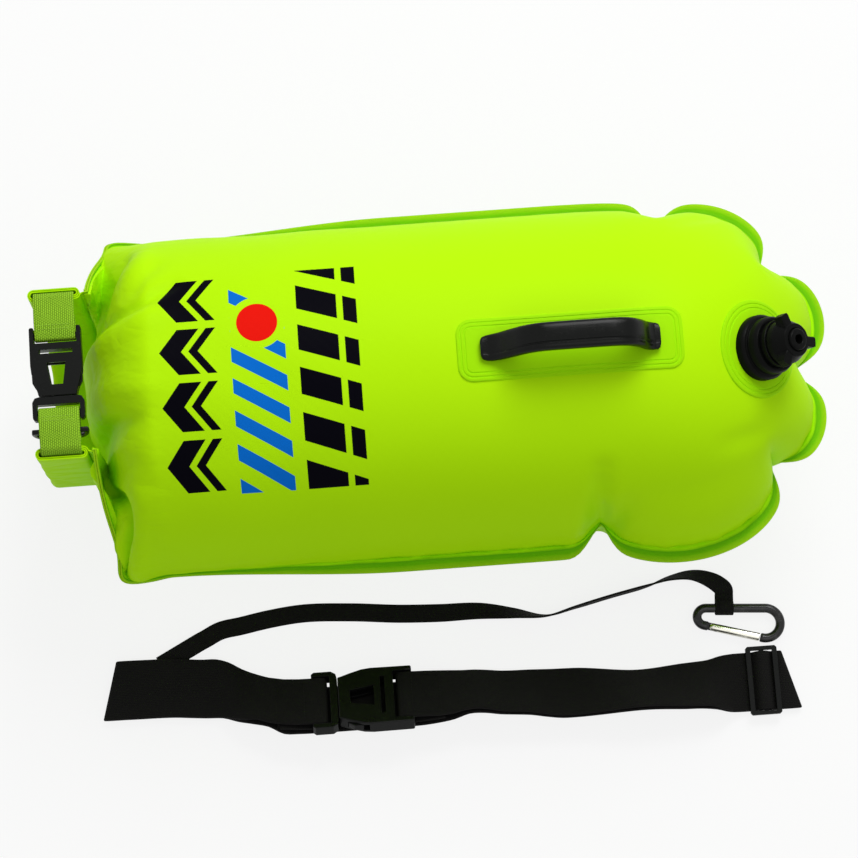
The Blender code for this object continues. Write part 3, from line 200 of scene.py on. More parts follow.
sky_strength = 0.40
world = bpy.data.worlds.new("studio")
bpy.context.scene.world = world
sky = Finish("studio", world)
sky_background = sky.tree.nodes["Background"]
sky_background.inputs["Color"].default_value = (1, 1, 1, 1)
sky.join(seen_directly(sky) * (1 - sky_strength) + sky_strength, sky_background.inputs["Strength"])


def add_lamp(name, place, target, size, power):
    """Soft square lamp."""
    lamp = bpy.data.lights.new(name, "AREA")
    lamp.size, lamp.energy = size, power
    aim = (Vector(target) - Vector(place)).to_track_quat("-Z", "Y")
    put(name, lamp).matrix_world = Matrix.Translation(place) @ aim.to_matrix().to_4x4()


add_lamp("key_lamp", place=(0.5, 1.3, 1.75), target=(0, 0, 0.1), size=1.1, power=32)
add_lamp("fill_lamp", place=(0.5, -0.8, 1.8), target=(0, 0, 0.05), size=1.2, power=4.5)


# Tether
# A length of narrow black polyester webbing, woven, with folded and sewn ends. It lies loose on the
# floor between the belt and the carabiner and stands on its edge where it turns back.

tether_width = 0.012
tether_thickness = 0.0013
clearance = 0.0003
same_spot = 0.000002
same_plane = math.radians(0.6)
tether_route = (
    # place, and degrees of turn on to its edge
    (-0.1540, -0.1330, 0.00330, 0), (-0.1450, -0.1285, 0.00200, 0), (-0.1310, -0.1260, 0.00100, 0),
    (-0.1120, -0.1228, 0.00100, 0), (-0.0919, -0.1208, 0.00100, 0), (-0.0594, -0.1222, 0.00100, 0),
    (-0.0270, -0.1255, 0.00100, 0), (-0.0009, -0.1270, 0.00160, 5), (0.0252, -0.1278, 0.00320, 20),
    (0.0470, -0.1312, 0.00560, 50), (0.0684, -0.1345, 0.00640, 80), (0.0866, -0.1305, 0.00640, 88),
    (0.1105, -0.1250, 0.00640, 90), (0.1365, -0.1195, 0.00640, 86), (0.1506, -0.1158, 0.00640, 70),
    (0.1652, -0.1150, 0.00600, 48), (0.1750, -0.1180, 0.00500, 25), (0.1812, -0.1218, 0.00440, 8),
    (0.1847, -0.1259, 0.00420, 0), (0.1845, -0.1289, 0.00420, 0)
)


def smooth_rows(rows, steps):
    """Rows of numbers on a smooth curve through the given rows, by the distance between their places."""
    rows = np.asarray(rows, float)
    gaps = np.linalg.norm(np.diff(rows[:, :3], axis=0), axis=1)[:, None]
    slopes = np.diff(rows, axis=0) / gaps
    middle = (slopes[:-1] * gaps[1:] + slopes[1:] * gaps[:-1]) / (gaps[1:] + gaps[:-1])
    leans = np.vstack((slopes[:1], middle, slopes[-1:]))
    t = (np.arange(steps) / steps)[:, None]
    curve = [a * (1 + 2 * t) * (1 - t) ** 2 + m * gap * t * (1 - t) ** 2
             + b * t ** 2 * (3 - 2 * t) - n * gap * t ** 2 * (1 - t)
             for a, b, m, n, gap in zip(rows, rows[1:], leans, leans[1:], gaps)]
    return np.vstack(curve + [rows[-1:]])


def unit(vectors):
    """Vectors of length 1."""
    vectors = np.asarray(vectors, float)
    return vectors / np.maximum(np.linalg.norm(vectors, axis=-1, keepdims=True), 1e-12)


def distances(line):
    """Distance along a line to each of its points."""
    return np.concatenate(([0], np.cumsum(np.linalg.norm(np.diff(line, axis=0), axis=1))))


def add_piece(name, mesh, material, smooth_angle=40):
    """Object of a finished mesh, at the origin, with its finish."""
    piece = put(name, mesh)
    mesh.materials.clear()
    mesh.materials.append(material)
    mesh.shade_smooth()
    mesh.set_sharp_from_angle(angle=math.radians(smooth_angle))
    return piece


def fitted(piece, node, body):
    """Piece that stands for a packed one, on the body that carries it."""
    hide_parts(node)
    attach(piece, body)
    return piece


def cleaned(mesh, merged=False, flattened=False):
    """Closed mesh with its faces turned outward, once doubled points are merged and flats made whole."""
    volume = bmesh.new()
    volume.from_mesh(mesh)
    if merged:
        bmesh.ops.remove_doubles(volume, verts=volume.verts, dist=same_spot)
    if flattened:
        bmesh.ops.dissolve_limit(volume, angle_limit=same_plane, verts=volume.verts, edges=volume.edges)
    if volume.calc_volume(signed=True) < 0:
        bmesh.ops.reverse_faces(volume, faces=volume.faces)
    volume.to_mesh(mesh)
    volume.free()
    return mesh


def loft(name, rings, material, closed=False, smooth_angle=40):
    """Tube through rings of points. Its UV map, lay, runs round and along it in metres."""
    rings = np.asarray(rings, float)
    count, width = rings.shape[:2]
    index = np.arange(count * width).reshape(count, width)
    low, high = (index, np.roll(index, -1, 0)) if closed else (index[:-1], index[1:])
    quads = np.stack((low, np.roll(low, -1, 1), np.roll(high, -1, 1), high), -1)
    faces = quads.reshape(-1, 4).tolist()
    if not closed:
        faces += [index[0][::-1].tolist(), index[-1].tolist()]
    mesh = bpy.data.meshes.new(name)
    mesh.from_pydata(rings.reshape(-1, 3).tolist(), [], faces)
    middle = rings.mean(1)
    along = distances(np.vstack((middle, middle[:1])))
    across = distances(np.vstack((rings[0], rings[0][:1])))
    start, end = along[:len(low), None], along[1:len(low) + 1, None]
    u = np.stack((across[:-1], across[1:], across[1:], across[:-1]), -1)
    v = np.stack((start, start, end, end), -1)
    lay = np.zeros((len(mesh.loops), 2))
    lay[:quads.size] = np.stack(np.broadcast_arrays(u, v), -1).reshape(-1, 2)
    mesh.uv_layers.new(name="lay").data.foreach_set("uv", lay.ravel())
    return add_piece(name, cleaned(mesh), material, smooth_angle)


def webbing_section(width, thickness):
    """Section of a strap: flat faces with rounded selvedges, and points enough to carry the weave."""
    round_edge = [(math.cos(a), math.sin(a)) for a in np.radians((-90, -54, -18, 18, 54, 90))]
    reach, rise = width / 2 - thickness / 2, thickness / 2
    right = [(reach + rise * x, rise * y) for x, y in round_edge]
    top = [(reach * s, rise) for s in (0.6, 0.2, -0.2, -0.6)]
    section = np.array(right + top)
    return np.vstack((section, -section))


def ribbon(name, centres, sides, width, thickness, material):
    """Strap through its centres, with one direction of its width or one at each."""
    centres, sides = np.broadcast_arrays(np.asarray(centres, float), np.asarray(sides, float))
    along = np.gradient(centres, axis=0)
    up = unit(np.cross(along, sides))
    section = webbing_section(width, thickness)
    rings = centres[:, None] + sides[:, None] * section[:, :1] + up[:, None] * section[:, 1:]
    return loft(name, rings, material)


def webbing_finish(name, yarn, shadow, rib=0.0011, pick=0.0013, depth=0.00022):
    """Woven webbing: raised floats in staggered columns, darker in the gaps, dull, with loose fibres."""
    finish = Finish(name)
    u, v, _ = finish.parts(finish.node("ShaderNodeUVMap", {"uv_map": "lay"}))
    column = u / rib
    odd = column.maths("FLOOR").maths("PINGPONG", 1)
    across = abs(column.maths("FRACT") - 0.5) * 2
    along = abs((v / pick + odd * 0.5).maths("FRACT") - 0.5) * 2
    crown = (1 - across * across) * (1 - along.maths("POWER", 3) * 0.85)
    fibre = finish.noise(finish.place(), 2600)
    patch = finish.noise(finish.place(), 60, 4)
    share = finish.limited(crown * 1.25 + (fibre - 0.5) * 0.5 + (patch - 0.5) * 0.4)
    relief = crown.maths("POWER", 0.6) + fibre * 0.25
    return finish.feed(base_color=finish.mix(share, shadow, yarn), roughness=0.78,
                       specular_ior_level=0.1, normal=finish.bump(relief, depth))


black_webbing = webbing_finish("black_webbing", yarn=(0.0075, 0.0072, 0.0066), shadow=(0.002, 0.002, 0.002))
black_thread = Finish("black_thread").feed(base_color=(0.008, 0.008, 0.0075), roughness=0.7,
                                            specular_ior_level=0.1)

tether_rows = smooth_rows(tether_route, 10)
tether_line = tether_rows[:, :3]
tether_headings = unit(np.gradient(tether_line, axis=0))
flat_side = unit(np.cross((0, 0, 1), tether_headings))
on_edge = np.radians(np.clip(tether_rows[:, 3], 0, 90))[:, None]
tether_side = flat_side * np.cos(on_edge) - np.cross(tether_headings, flat_side) * np.sin(on_edge)
tether = fitted(ribbon("tether", tether_line, tether_side, tether_width, tether_thickness, black_webbing),
                "tether_webbing", "belt")


# Tether ends
# One end is sewn flat between the belt's layers; the other is folded round the carabiner's spine and
# stitched to itself. The stitches are bonded thread, in rows across and along the fold.

def stitch_maker():
    """Node tree that puts a thread on each point, turned along the point's own direction."""
    tree = bpy.data.node_groups.new("stitches", "GeometryNodeTree")
    face = tree.interface
    face.new_socket("Points", in_out="INPUT", socket_type="NodeSocketGeometry")
    for name in ("Length", "Thread"):
        face.new_socket(name, in_out="INPUT", socket_type="NodeSocketFloat")
    face.new_socket("Finish", in_out="INPUT", socket_type="NodeSocketMaterial")
    face.new_socket("Geometry", in_out="OUTPUT", socket_type="NodeSocketGeometry")
    new, link = tree.nodes.new, tree.links.new
    given, result = new("NodeGroupInput"), new("NodeGroupOutput")
    thread = new("GeometryNodeMeshUVSphere")
    thread.inputs["Segments"].default_value = 6
    thread.inputs["Rings"].default_value = 5
    thread.inputs["Radius"].default_value = 0.5
    size = new("ShaderNodeCombineXYZ")
    link(given.outputs["Thread"], size.inputs[0])
    link(given.outputs["Thread"], size.inputs[1])
    link(given.outputs["Length"], size.inputs[2])
    heading = new("GeometryNodeInputNamedAttribute")
    heading.data_type = "FLOAT_VECTOR"
    heading.inputs["Name"].default_value = "heading"
    turn = new("FunctionNodeAlignRotationToVector")
    turn.axis = "Z"
    link(heading.outputs[0], turn.inputs["Vector"])
    spread = new("GeometryNodeInstanceOnPoints")
    link(given.outputs["Points"], spread.inputs["Points"])
    link(thread.outputs["Mesh"], spread.inputs["Instance"])
    link(turn.outputs[0], spread.inputs["Rotation"])
    link(size.outputs[0], spread.inputs["Scale"])
    real, coat = new("GeometryNodeRealizeInstances"), new("GeometryNodeSetMaterial")
    link(spread.outputs[0], real.inputs[0])
    link(real.outputs[0], coat.inputs["Geometry"])
    link(given.outputs["Finish"], coat.inputs["Material"])
    link(coat.outputs[0], result.inputs[0])
    return tree


stitch_tree = stitch_maker()
thread_thickness = 0.00045
thread_share = 0.86


def scatter(name, points, headings, values, body):
    """Plain mesh of the stitches at points, one piece on one body."""
    mesh = bpy.data.meshes.new(name + "_points")
    mesh.from_pydata(points.tolist(), [], [])
    mesh.attributes.new("heading", "FLOAT_VECTOR", "POINT").data.foreach_set("vector", headings.ravel())
    source = put(name, mesh)
    step = source.modifiers.new("nodes", "NODES")
    step.node_group = stitch_tree
    for item in stitch_tree.interface.items_tree:
        if item.in_out == "INPUT" and item.name in values:
            step[item.identifier] = values[item.name]
    bpy.context.view_layer.update()
    made = bpy.data.meshes.new_from_object(source.evaluated_get(bpy.context.evaluated_depsgraph_get()))
    bpy.data.objects.remove(source)
    made.name = name
    made.shade_smooth()
    piece = put(name, made)
    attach(piece, body)
    return piece


def stitch(name, lines, pitch, finish, body):
    """Rows of stitches along lines of points, a thread at each step of the pitch."""
    points, headings = [], []
    for line in lines:
        line = np.asarray(line, float)
        places = distances(line)
        count = max(int(places[-1] / pitch), 1)
        at = (np.arange(count) + 0.5) / count * places[-1]
        spot, ahead, behind = (np.stack([np.interp(at + step, places, line[:, k]) for k in range(3)], -1)
                               for step in (0, pitch / 4, -pitch / 4))
        points.append(spot)
        headings.append(unit(ahead - behind))
    values = {"Length": pitch * thread_share, "Thread": thread_thickness, "Finish": finish}
    return scatter(name, np.vstack(points), np.vstack(headings), values, body)


def box_stitch(middle, along, side, length, width):
    """Lines of a sewn box with its cross."""
    along, side = unit(along), unit(side)
    corners = [np.asarray(middle) + along * a * length / 2 + side * b * width / 2
               for a, b in ((-1, -1), (1, -1), (1, 1), (-1, 1))]
    return [[corners[a], corners[b]] for a, b in ((0, 1), (1, 2), (2, 3), (3, 0), (0, 2), (1, 3))]


tab_length = 0.034
tab_heading = unit(tether_line[0] - tether_line[1]) * (1, 1, 0)
tab_side = np.cross((0, 0, 1), unit(tab_heading))
tab_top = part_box("tether_belt_tab")[1][2] - tether_thickness / 2
tab_shares = np.array([0, 0.06, 0.15, 0.3, 0.5, 0.75, 1])
tab_centres = tether_line[0] + unit(tab_heading) * (tab_length * tab_shares)[:, None]
tab_centres[:, 2] = np.interp(tab_shares, [0, 0.15, 1], [tether_line[0][2], tab_top, tab_top])
fitted(ribbon("tether_tab", tab_centres, tab_side, tether_width, tether_thickness, black_webbing),
       "tether_belt_tab", "belt")

carabiner_rod = 0.006
carabiner_spine = 0.0385
carabiner_large_radius = 0.0098
carabiner_small_radius = 0.0057
carabiner_gate_rod = 0.0054
carabiner_place = (0.1719, -0.1370)
carabiner_turn = math.radians(-4.2)
carabiner_height = carabiner_rod / 2 + tether_thickness + clearance * 2


def axes(origin, x_axis, y_axis, z_axis):
    """Matrix with these axes as its columns."""
    matrix = Matrix((x_axis, y_axis, z_axis)).transposed().to_4x4()
    matrix.translation = origin
    return matrix


def placed(matrix, points):
    """Points carried by a matrix."""
    matrix = np.array(matrix)
    return np.asarray(points, float) @ matrix[:3, :3].T + matrix[:3, 3]


spine_heading = Vector((math.cos(carabiner_turn), math.sin(carabiner_turn), 0))
carabiner_up = Vector((0, 0, -1))
carabiner_frame = axes(Vector((*carabiner_place, carabiner_height)), spine_heading,
                       carabiner_up.cross(spine_heading), carabiner_up)
loop_end = Vector(tether_line[-1])
spine_spot = carabiner_frame @ Vector(((loop_end - carabiner_frame.translation).dot(spine_heading), 0, 0))
spine_spot.z = 0
loop_away = Vector((loop_end.x, loop_end.y, 0)) - spine_spot
loop_reach = loop_away.length
loop_away.normalize()
loop_frame = axes(spine_spot, loop_away, (0, 0, 1), loop_away.cross(Vector((0, 0, 1))))
loop_lay = carabiner_rod / 2 + clearance + tether_thickness / 2
ply = (tether_thickness + clearance) / 2
fold_reaches = (loop_reach, loop_reach * 0.8 + loop_lay * 0.2, loop_lay + tether_thickness)
loop_path = [(reach, loop_end.z - ply) for reach in fold_reaches]
loop_path += [(loop_lay * math.cos(a), carabiner_height + loop_lay * math.sin(a))
              for a in np.radians(np.linspace(-30, -330, 25))]
loop_path += [(reach, loop_end.z + ply) for reach in fold_reaches[::-1]]
loop_path = smooth_rows(loop_path, 2)
loop_path = placed(loop_frame, np.column_stack((loop_path, np.zeros(len(loop_path)))))
fold_side = np.array(loop_frame)[:3, 2]
clip_loop = fitted(
    ribbon("tether_clip_fold", loop_path, fold_side, tether_width, tether_thickness, black_webbing),
    "tether_clip_loop", "belt")

fold_top = loop_end.z + ply + tether_thickness / 2
fold_half = tether_width * 0.4
fold_pitch = 0.0016
fold_rows = []
for plies in (1.6, 2.4):
    fold_middle = spine_spot + loop_away * (loop_lay + tether_thickness * plies)
    fold_middle = np.array((fold_middle.x, fold_middle.y, fold_top))
    fold_rows.append([fold_middle - fold_side * fold_half, fold_middle + fold_side * fold_half])
fold_stitches = stitch("tether_fold_stitches", fold_rows, fold_pitch, black_thread, "belt")

tab_pitch = 0.0018
tab_run = tab_length * 0.55
tab_middle = tether_line[0] + unit(tab_heading) * tab_run
tab_middle[2] = tab_top + tether_thickness / 2
tab_box = box_stitch(tab_middle, tab_heading, tab_side, tab_run, tether_width * 0.7)
stitch("tether_tab_stitches", tab_box, tab_pitch, black_thread, "belt")


# Carabiner
# A small snap hook bent from black anodised rod, with a turned bright gate on a riveted pin. The gate
# closes on the notched end of the rod; a coil spring inside it holds it shut.

def rod_finish(name, colour, roughness, metallic, scratch):
    """Bright or coated metal with fine rubbed lines and handling marks."""
    finish = Finish(name)
    where = finish.place()
    drawn = finish.node("ShaderNodeMapping", inputs={"Vector": where, "Scale": (220, 2600, 2600)})
    lines = finish.noise(drawn, 1, 3)
    worn = finish.limited((finish.noise(where, 240, 4) - 0.56) * 7)
    return finish.feed(base_color=finish.mix(worn * 0.48, colour, scratch), metallic=metallic,
                       roughness=roughness + (lines - 0.5) * 0.16 + worn * 0.1,
                       normal=finish.bump(lines, 0.00002))


black_anodised = rod_finish("black_anodised", (0.010, 0.010, 0.010), roughness=0.24, metallic=0.45,
                            scratch=(0.05, 0.05, 0.05))
bright_steel = rod_finish("bright_steel", (0.56, 0.55, 0.48), roughness=0.22, metallic=1.0,
                          scratch=(0.44, 0.43, 0.38))


def circle(radius, sides=24):
    """Points of a circle."""
    turn = 2 * np.pi * np.arange(sides) / sides
    return np.column_stack((np.cos(turn), np.sin(turn))) * radius


def swept(path, up, sections):
    """Rings of a flat section, or one a point, carried along a path with a steady up direction."""
    path = np.asarray(path, float)
    along = unit(np.gradient(path, axis=0))
    side = unit(np.cross(up, along))
    top = np.cross(along, side)
    sections = np.broadcast_to(sections, (len(path), *np.shape(sections)[-2:]))
    return path[:, None] + side[:, None] * sections[..., :1] + top[:, None] * sections[..., 1:]


lean_angle = math.asin((carabiner_large_radius - carabiner_small_radius)
                       / math.hypot(carabiner_spine, carabiner_large_radius - carabiner_small_radius))
lean_side = np.array((-math.sin(lean_angle), math.cos(lean_angle)))
gate_start = np.array((0, carabiner_small_radius)) + lean_side * carabiner_small_radius
gate_end = np.array((carabiner_spine, carabiner_large_radius)) + lean_side * carabiner_large_radius
gate_way = unit(gate_end - gate_start)
gate_turn = math.atan2(gate_way[1], gate_way[0])
hinge_share, nose_share = 0.13, 0.93
hinge_spot = gate_start + (gate_end - gate_start) * hinge_share
nose_spot = gate_start + (gate_end - gate_start) * nose_share
hinge_gap = carabiner_gate_rod / 2 + clearance


def bend(centre, radius, start, end, steps):
    """Arc between two angles in degrees."""
    turn = np.radians(np.linspace(start, end, steps))
    return np.column_stack((centre[0] + radius * np.cos(turn), centre[1] + radius * np.sin(turn)))


rod_path = np.vstack((
    hinge_spot - gate_way * hinge_gap,
    bend((0, carabiner_small_radius), carabiner_small_radius, 90 + math.degrees(gate_turn), 270, 22),
    np.linspace((0, 0), (carabiner_spine, 0), 12)[1:-1],
    bend((carabiner_spine, carabiner_large_radius), carabiner_large_radius, -90,
         90 + math.degrees(gate_turn), 34),
    nose_spot + gate_way * clearance))
rod_path = np.column_stack((rod_path, np.zeros(len(rod_path))))
rod_end_run = carabiner_rod * 0.1
rod_end_share = 0.84
rod_head = [rod_path[0], rod_path[0] + unit(rod_path[1] - rod_path[0]) * rod_end_run]
rod_tail = [rod_path[-1] + unit(rod_path[-2] - rod_path[-1]) * rod_end_run, rod_path[-1]]
rod_path = np.vstack((rod_head, rod_path[1:-1], rod_tail))
rod_sizes = np.ones((len(rod_path), 1, 1))
rod_sizes[[0, -1]] = rod_end_share
rod_rings = swept(rod_path, (0, 0, 1), circle(carabiner_rod / 2) * rod_sizes)
rod = fitted(loft("carabiner_rod", placed(carabiner_frame, rod_rings), black_anodised),
             "carabiner_body", "carabiner")

tongue_thickness = 0.0016
tongue_reach = carabiner_gate_rod / 2 * 0.9
tongue_outline = np.vstack((bend((0, 0), tongue_reach, -90, 90, 13),
                            [(-hinge_gap * 1.5, tongue_reach), (-hinge_gap * 1.5, -tongue_reach)]))
hinge_frame = carabiner_frame @ Matrix.Translation((*hinge_spot, 0)) @ Matrix.Rotation(gate_turn, 4, "Z")


def plate_rings(outline, low, high, edge):
    """Rings of a flat plate with softened edges."""
    outline = np.asarray(outline, float)
    inward = unit(outline.mean(0) - outline) * edge
    heights = ((low, 1), (low + edge, 0), (high - edge, 0), (high, 1))
    return [np.column_stack((outline + inward * share, np.full(len(outline), height)))
            for height, share in heights]


tongue_rings = plate_rings(tongue_outline, -tongue_thickness / 2, tongue_thickness / 2, 0.0001)
tongue = loft("carabiner_tongue", placed(hinge_frame, tongue_rings), black_anodised)
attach(tongue, "carabiner")


sharp_edge = math.radians(28)


def refined(node, name, material, body, width, segments=3):
    """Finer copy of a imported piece: its flats made whole and its edges rounded."""
    mesh = cleaned(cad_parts[node].data.copy(), merged=True, flattened=True)
    piece = add_piece(name, mesh, material, 30)
    edge = piece.modifiers.new("edge", "BEVEL")
    edge.width, edge.segments = width, segments
    edge.limit_method, edge.angle_limit = "ANGLE", sharp_edge
    edge.use_clamp_overlap = True
    edge.harden_normals = True
    return fitted(piece, node, body)


gate = refined("carabiner_gate", "carabiner_gate_tube", bright_steel, "gate",
               width=0.00012, segments=2)
pin_head = 0.00105
pin_shank = 0.0007
pin_reach = carabiner_gate_rod / 2
pin_half_profile = [(0, pin_reach + 0.0002), (pin_head * 0.7, pin_reach + 0.0002), (pin_head, pin_reach),
                    (pin_shank, pin_reach - 0.0001)]
pin_profile = [(radius, -height) for radius, height in pin_half_profile] + pin_half_profile[::-1]


def turned(profile, sides):
    """Rings of a profile of radius and height turned about Z."""
    return np.array([np.column_stack((circle(max(radius, 0.000001), sides), np.full(sides, height)))
                     for radius, height in profile])


pin_rings = placed(hinge_frame, turned(pin_profile, 20))
pin = fitted(loft("carabiner_rivet", pin_rings, bright_steel), "carabiner_pin", "carabiner")


def recoated(node, material):
    """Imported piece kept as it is, under a finer finish."""
    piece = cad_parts[node]
    piece.data.materials.clear()
    piece.data.materials.append(material)
    return piece


spring = recoated("carabiner_spring", bright_steel)


# Waist belt
# One length of 38 mm black polyester webbing, woven with flat ribs, lying as a flattened loop. Its
# two ends go round the bars of the buckle and are sewn back on themselves with a box and a cross.

belt_width = 0.038
belt_thickness = 0.0016
belt_left = -0.2155
belt_length = 0.437
belt_near = -0.163
belt_sway = 0.026
belt_tilt = math.radians(45)
belt_spread = 0.0066
belt_raise = 0.00175
belt_end_skew = 0.27
belt_buckle_share = 0.332
buckle_half = 0.0235
buckle_bar = 0.0034
buckle_slot = 0.0042
buckle_plug_edge = -0.00946
buckle_socket_edge = 0.04
buckle_plug_length = 0.017
buckle_socket_length = 0.048
belt_rows = np.array((
    # share of the length, sway, tilt, spread and raise
    (0.0, 0.0, 0.0, 0.53, 1.0), (0.07, 0.02, 0.0, 0.53, 1.0), (0.15, 0.12, 0.0, 0.53, 1.0),
    (0.215, 0.5, 0.75, 0.7, 0.2), (0.25, 0.78, 0.75, 1.0, 0.0), (0.285, 0.82, 0.75, 1.0, 0.0),
    (0.445, 0.82, 0.75, 1.0, 0.0), (0.48, 0.78, 0.75, 1.0, 0.0), (0.53, 0.7, 0.95, 0.55, 0.0),
    (0.59, 0.8, 0.88, 0.4, 0.0), (0.67, 0.9, 0.68, 0.4, 0.0), (0.78, 0.97, 1.0, 0.4, 0.0),
    (0.87, 0.95, 0.78, 0.4, 0.0), (0.93, 0.92, 0.0, 0.4, 0.0), (1.0, 0.92, 0.0, 0.4, 0.0),
))
slider_share = 0.962
slider_bar = 0.0032
slider_slot = 0.0054
slider_rise = 0.0049
slider_turns = (0.907, 0.167)


def eased(low, high, value):
    """0 below low, 1 above high, eased between."""
    share = np.clip((value - low) / (high - low), 0, 1)
    return share * share * (3 - 2 * share)


def belt_frame(share):
    """Middle of the belt's two layers, its cross and upward directions, and the gap between layers."""
    share = min(max(share, 0), 1)
    k = min(int(np.searchsorted(belt_rows[:, 0], share)), len(belt_rows) - 1)
    low, high = belt_rows[max(k - 1, 0)], belt_rows[max(k, 1)]
    _, sway, tilt, spread, lift = low + (high - low) * eased(low[0], high[0], share)
    turn = tilt * belt_tilt
    half = belt_width / 2 + (buckle_half - belt_width / 2) * eased(0.75, 1, spread)
    gap = spread * belt_spread
    height = math.sin(turn) * half + math.cos(turn) * (gap + belt_thickness) / 2
    middle = np.array((belt_left + share * belt_length, belt_near - sway * belt_sway,
                       height + lift * belt_raise + clearance))
    cross = np.array((0, math.cos(turn), -math.sin(turn)))
    return middle, cross, np.array((0, math.sin(turn), math.cos(turn))), gap


def round_turn(place, reach, middle, rise):
    """Half turn of the webbing round a bar or an end, from one side of the middle to the other."""
    return [(place + reach * math.sin(a), middle - rise * math.cos(a))
            for a in np.radians((0, 30, 60, 90, 120, 150, 180))]


def upper_layer(shares):
    """Stations of the belt's upper layer."""
    return [(share, belt_frame(share)[3] / 2) for share in shares]


def belt_path():
    """Stations of the webbing: share of the belt's length, and height over its middle."""
    lay = buckle_bar / 2 + clearance + belt_thickness / 2
    plug_edge = belt_buckle_share + (buckle_plug_edge - clearance) / belt_length
    socket_edge = belt_buckle_share + (buckle_socket_edge + clearance) / belt_length
    loop = buckle_slot / 2 / belt_length
    middle = belt_frame(belt_buckle_share)[3] / 2
    over, under = middle + lay, middle - lay
    lap = buckle_plug_length / belt_length
    near_plug = belt_buckle_share - 2.6 * lap
    past_socket = belt_buckle_share + buckle_socket_length * 1.5 / belt_length
    left_radius, right_radius = belt_frame(0)[3] / 2, belt_frame(1)[3] / 2
    low_turn, high_turn = ((slider_bar / 2 + slider_slot * turn) / belt_length for turn in slider_turns)
    slider_edge = (slider_bar * 3 / 2 + slider_slot) / belt_length
    low = belt_frame(slider_share)[3] / 2
    high = low + slider_rise
    return [
        (near_plug + lap / 3, under), (plug_edge - lap / 3, under),
        *round_turn(plug_edge, loop, middle, lay),
        (plug_edge - lap / 3, over),
        *upper_layer(np.linspace(near_plug, 0, 12, endpoint=False)),
        *round_turn(0, -left_radius / belt_length, 0, -left_radius),
        *((share, -gap) for share, gap in upper_layer(np.linspace(0, 1, 45)[1:-1])),
        *round_turn(1, right_radius / belt_length, 0, right_radius),
        (slider_share + slider_edge, low), (slider_share + low_turn, low),
        (slider_share + high_turn, high), (slider_share - high_turn, high), (slider_share - low_turn, low),
        *upper_layer(np.linspace(slider_share - slider_edge, past_socket, 24)),
        (socket_edge + lap / 2, over),
        *round_turn(socket_edge, -loop, middle, -lay),
        (socket_edge + lap / 2, under), (past_socket - lap / 4, under)]


belt_lines = []
for share, height in belt_path():
    middle, cross, up, _ = belt_frame(share)
    inner_share = min(max(share, 0), 1)
    skew = (1 - eased(0, 0.12, inner_share) - eased(0.986, 1, inner_share)) * belt_end_skew
    centre = middle + up * height + ((share - inner_share) * belt_length, 0, 0)
    belt_lines.append((*centre, *(cross + (skew, 0, 0))))
belt_lines = smooth_rows(belt_lines, 3)
belt = fitted(
    ribbon("waist_belt", belt_lines[:, :3], belt_lines[:, 3:], belt_width, belt_thickness, black_webbing),
    "belt_webbing", "belt")


def surface(piece):
    """Tree of a mesh's faces, for rays."""
    mesh = piece.data
    return BVHTree.FromPolygons([v.co for v in mesh.vertices], [p.vertices for p in mesh.polygons])


ray_start = 0.03
seam_step = 0.0015


def dropped(lines, way, piece, lift):
    """Lines of points carried along a direction onto a piece, raised off it a little."""
    tree, way = surface(piece), Vector(way).normalized()
    result = []
    for line in lines:
        spots = []
        for a, b in zip(line, line[1:]):
            steps = max(int(math.dist(a, b) / seam_step), 1)
            for k in range(steps):
                start = Vector(a).lerp(Vector(b), k / steps) - way * ray_start
                hit = tree.ray_cast(start, way)[0]
                if hit:
                    spots.append(hit - way * lift)
        if len(spots) > 1:
            result.append(spots)
    return result


belt_pitch = 0.0023
belt_box_run = 0.018
belt_box_width = belt_width * 0.82
belt_seams = []
for reach in (buckle_plug_edge - 0.0215, buckle_socket_edge + 0.0165):
    middle, cross, up, _ = belt_frame(belt_buckle_share + reach / belt_length)
    belt_box = box_stitch(middle + up * 0.006, (1, 0, 0), cross, belt_box_run, belt_box_width)
    belt_seams += dropped(belt_box, -up, belt, lift=0.00012)
stitch("belt_stitches", belt_seams, belt_pitch, black_thread, "belt")


# Belt buckle
# Side-release buckle moulded in black acetal, satin with a fine spark texture: the socket, the plug
# and its two springy arms. The three-bar slider at the belt's other end is of the same plastic.

def moulded_finish(name, colour, roughness, grain, worn_colour, gloss=0.11):
    """Moulded plastic: fine spark texture, faint flow marks and rubbed places."""
    finish = Finish(name)
    where = finish.place()
    spark = finish.noise(where, grain, 2)
    flow = finish.noise(where, 90, 3)
    rub = finish.limited((finish.noise(where, 420, 4) - 0.6) * 6)
    return finish.feed(base_color=finish.mix(rub * 0.5, colour, worn_colour),
                       roughness=roughness + (flow - 0.5) * 0.14 + rub * 0.08,
                       specular_ior_level=gloss, normal=finish.bump(spark, 0.00004))


black_plastic = moulded_finish("black_plastic", (0.0045, 0.005, 0.0045), roughness=0.30, grain=3800,
                               worn_colour=(0.010, 0.011, 0.010))


def clasp(place, bodies, edge):
    """The four mouldings of a side-release buckle."""
    for part, body in zip(("socket", "plug", "arm_left", "arm_right"), bodies):
        node, name = f"{place}_buckle_{part}", f"{place}_clasp_{part}"
        refined(node, name, black_plastic, body, edge)


clasp("belt", ("belt", "belt", "belt_latch_left", "belt_latch_right"), edge=0.00045)
refined("belt_slider", "belt_slide", black_plastic, "belt", width=0.0004)


# Bag panels
# Two sheets of coated nylon in neon yellow-green, welded together round their edge and blown up. The
# skins are drawn in where the welded edge puckers, and folded where the mouth gathers to the roll.

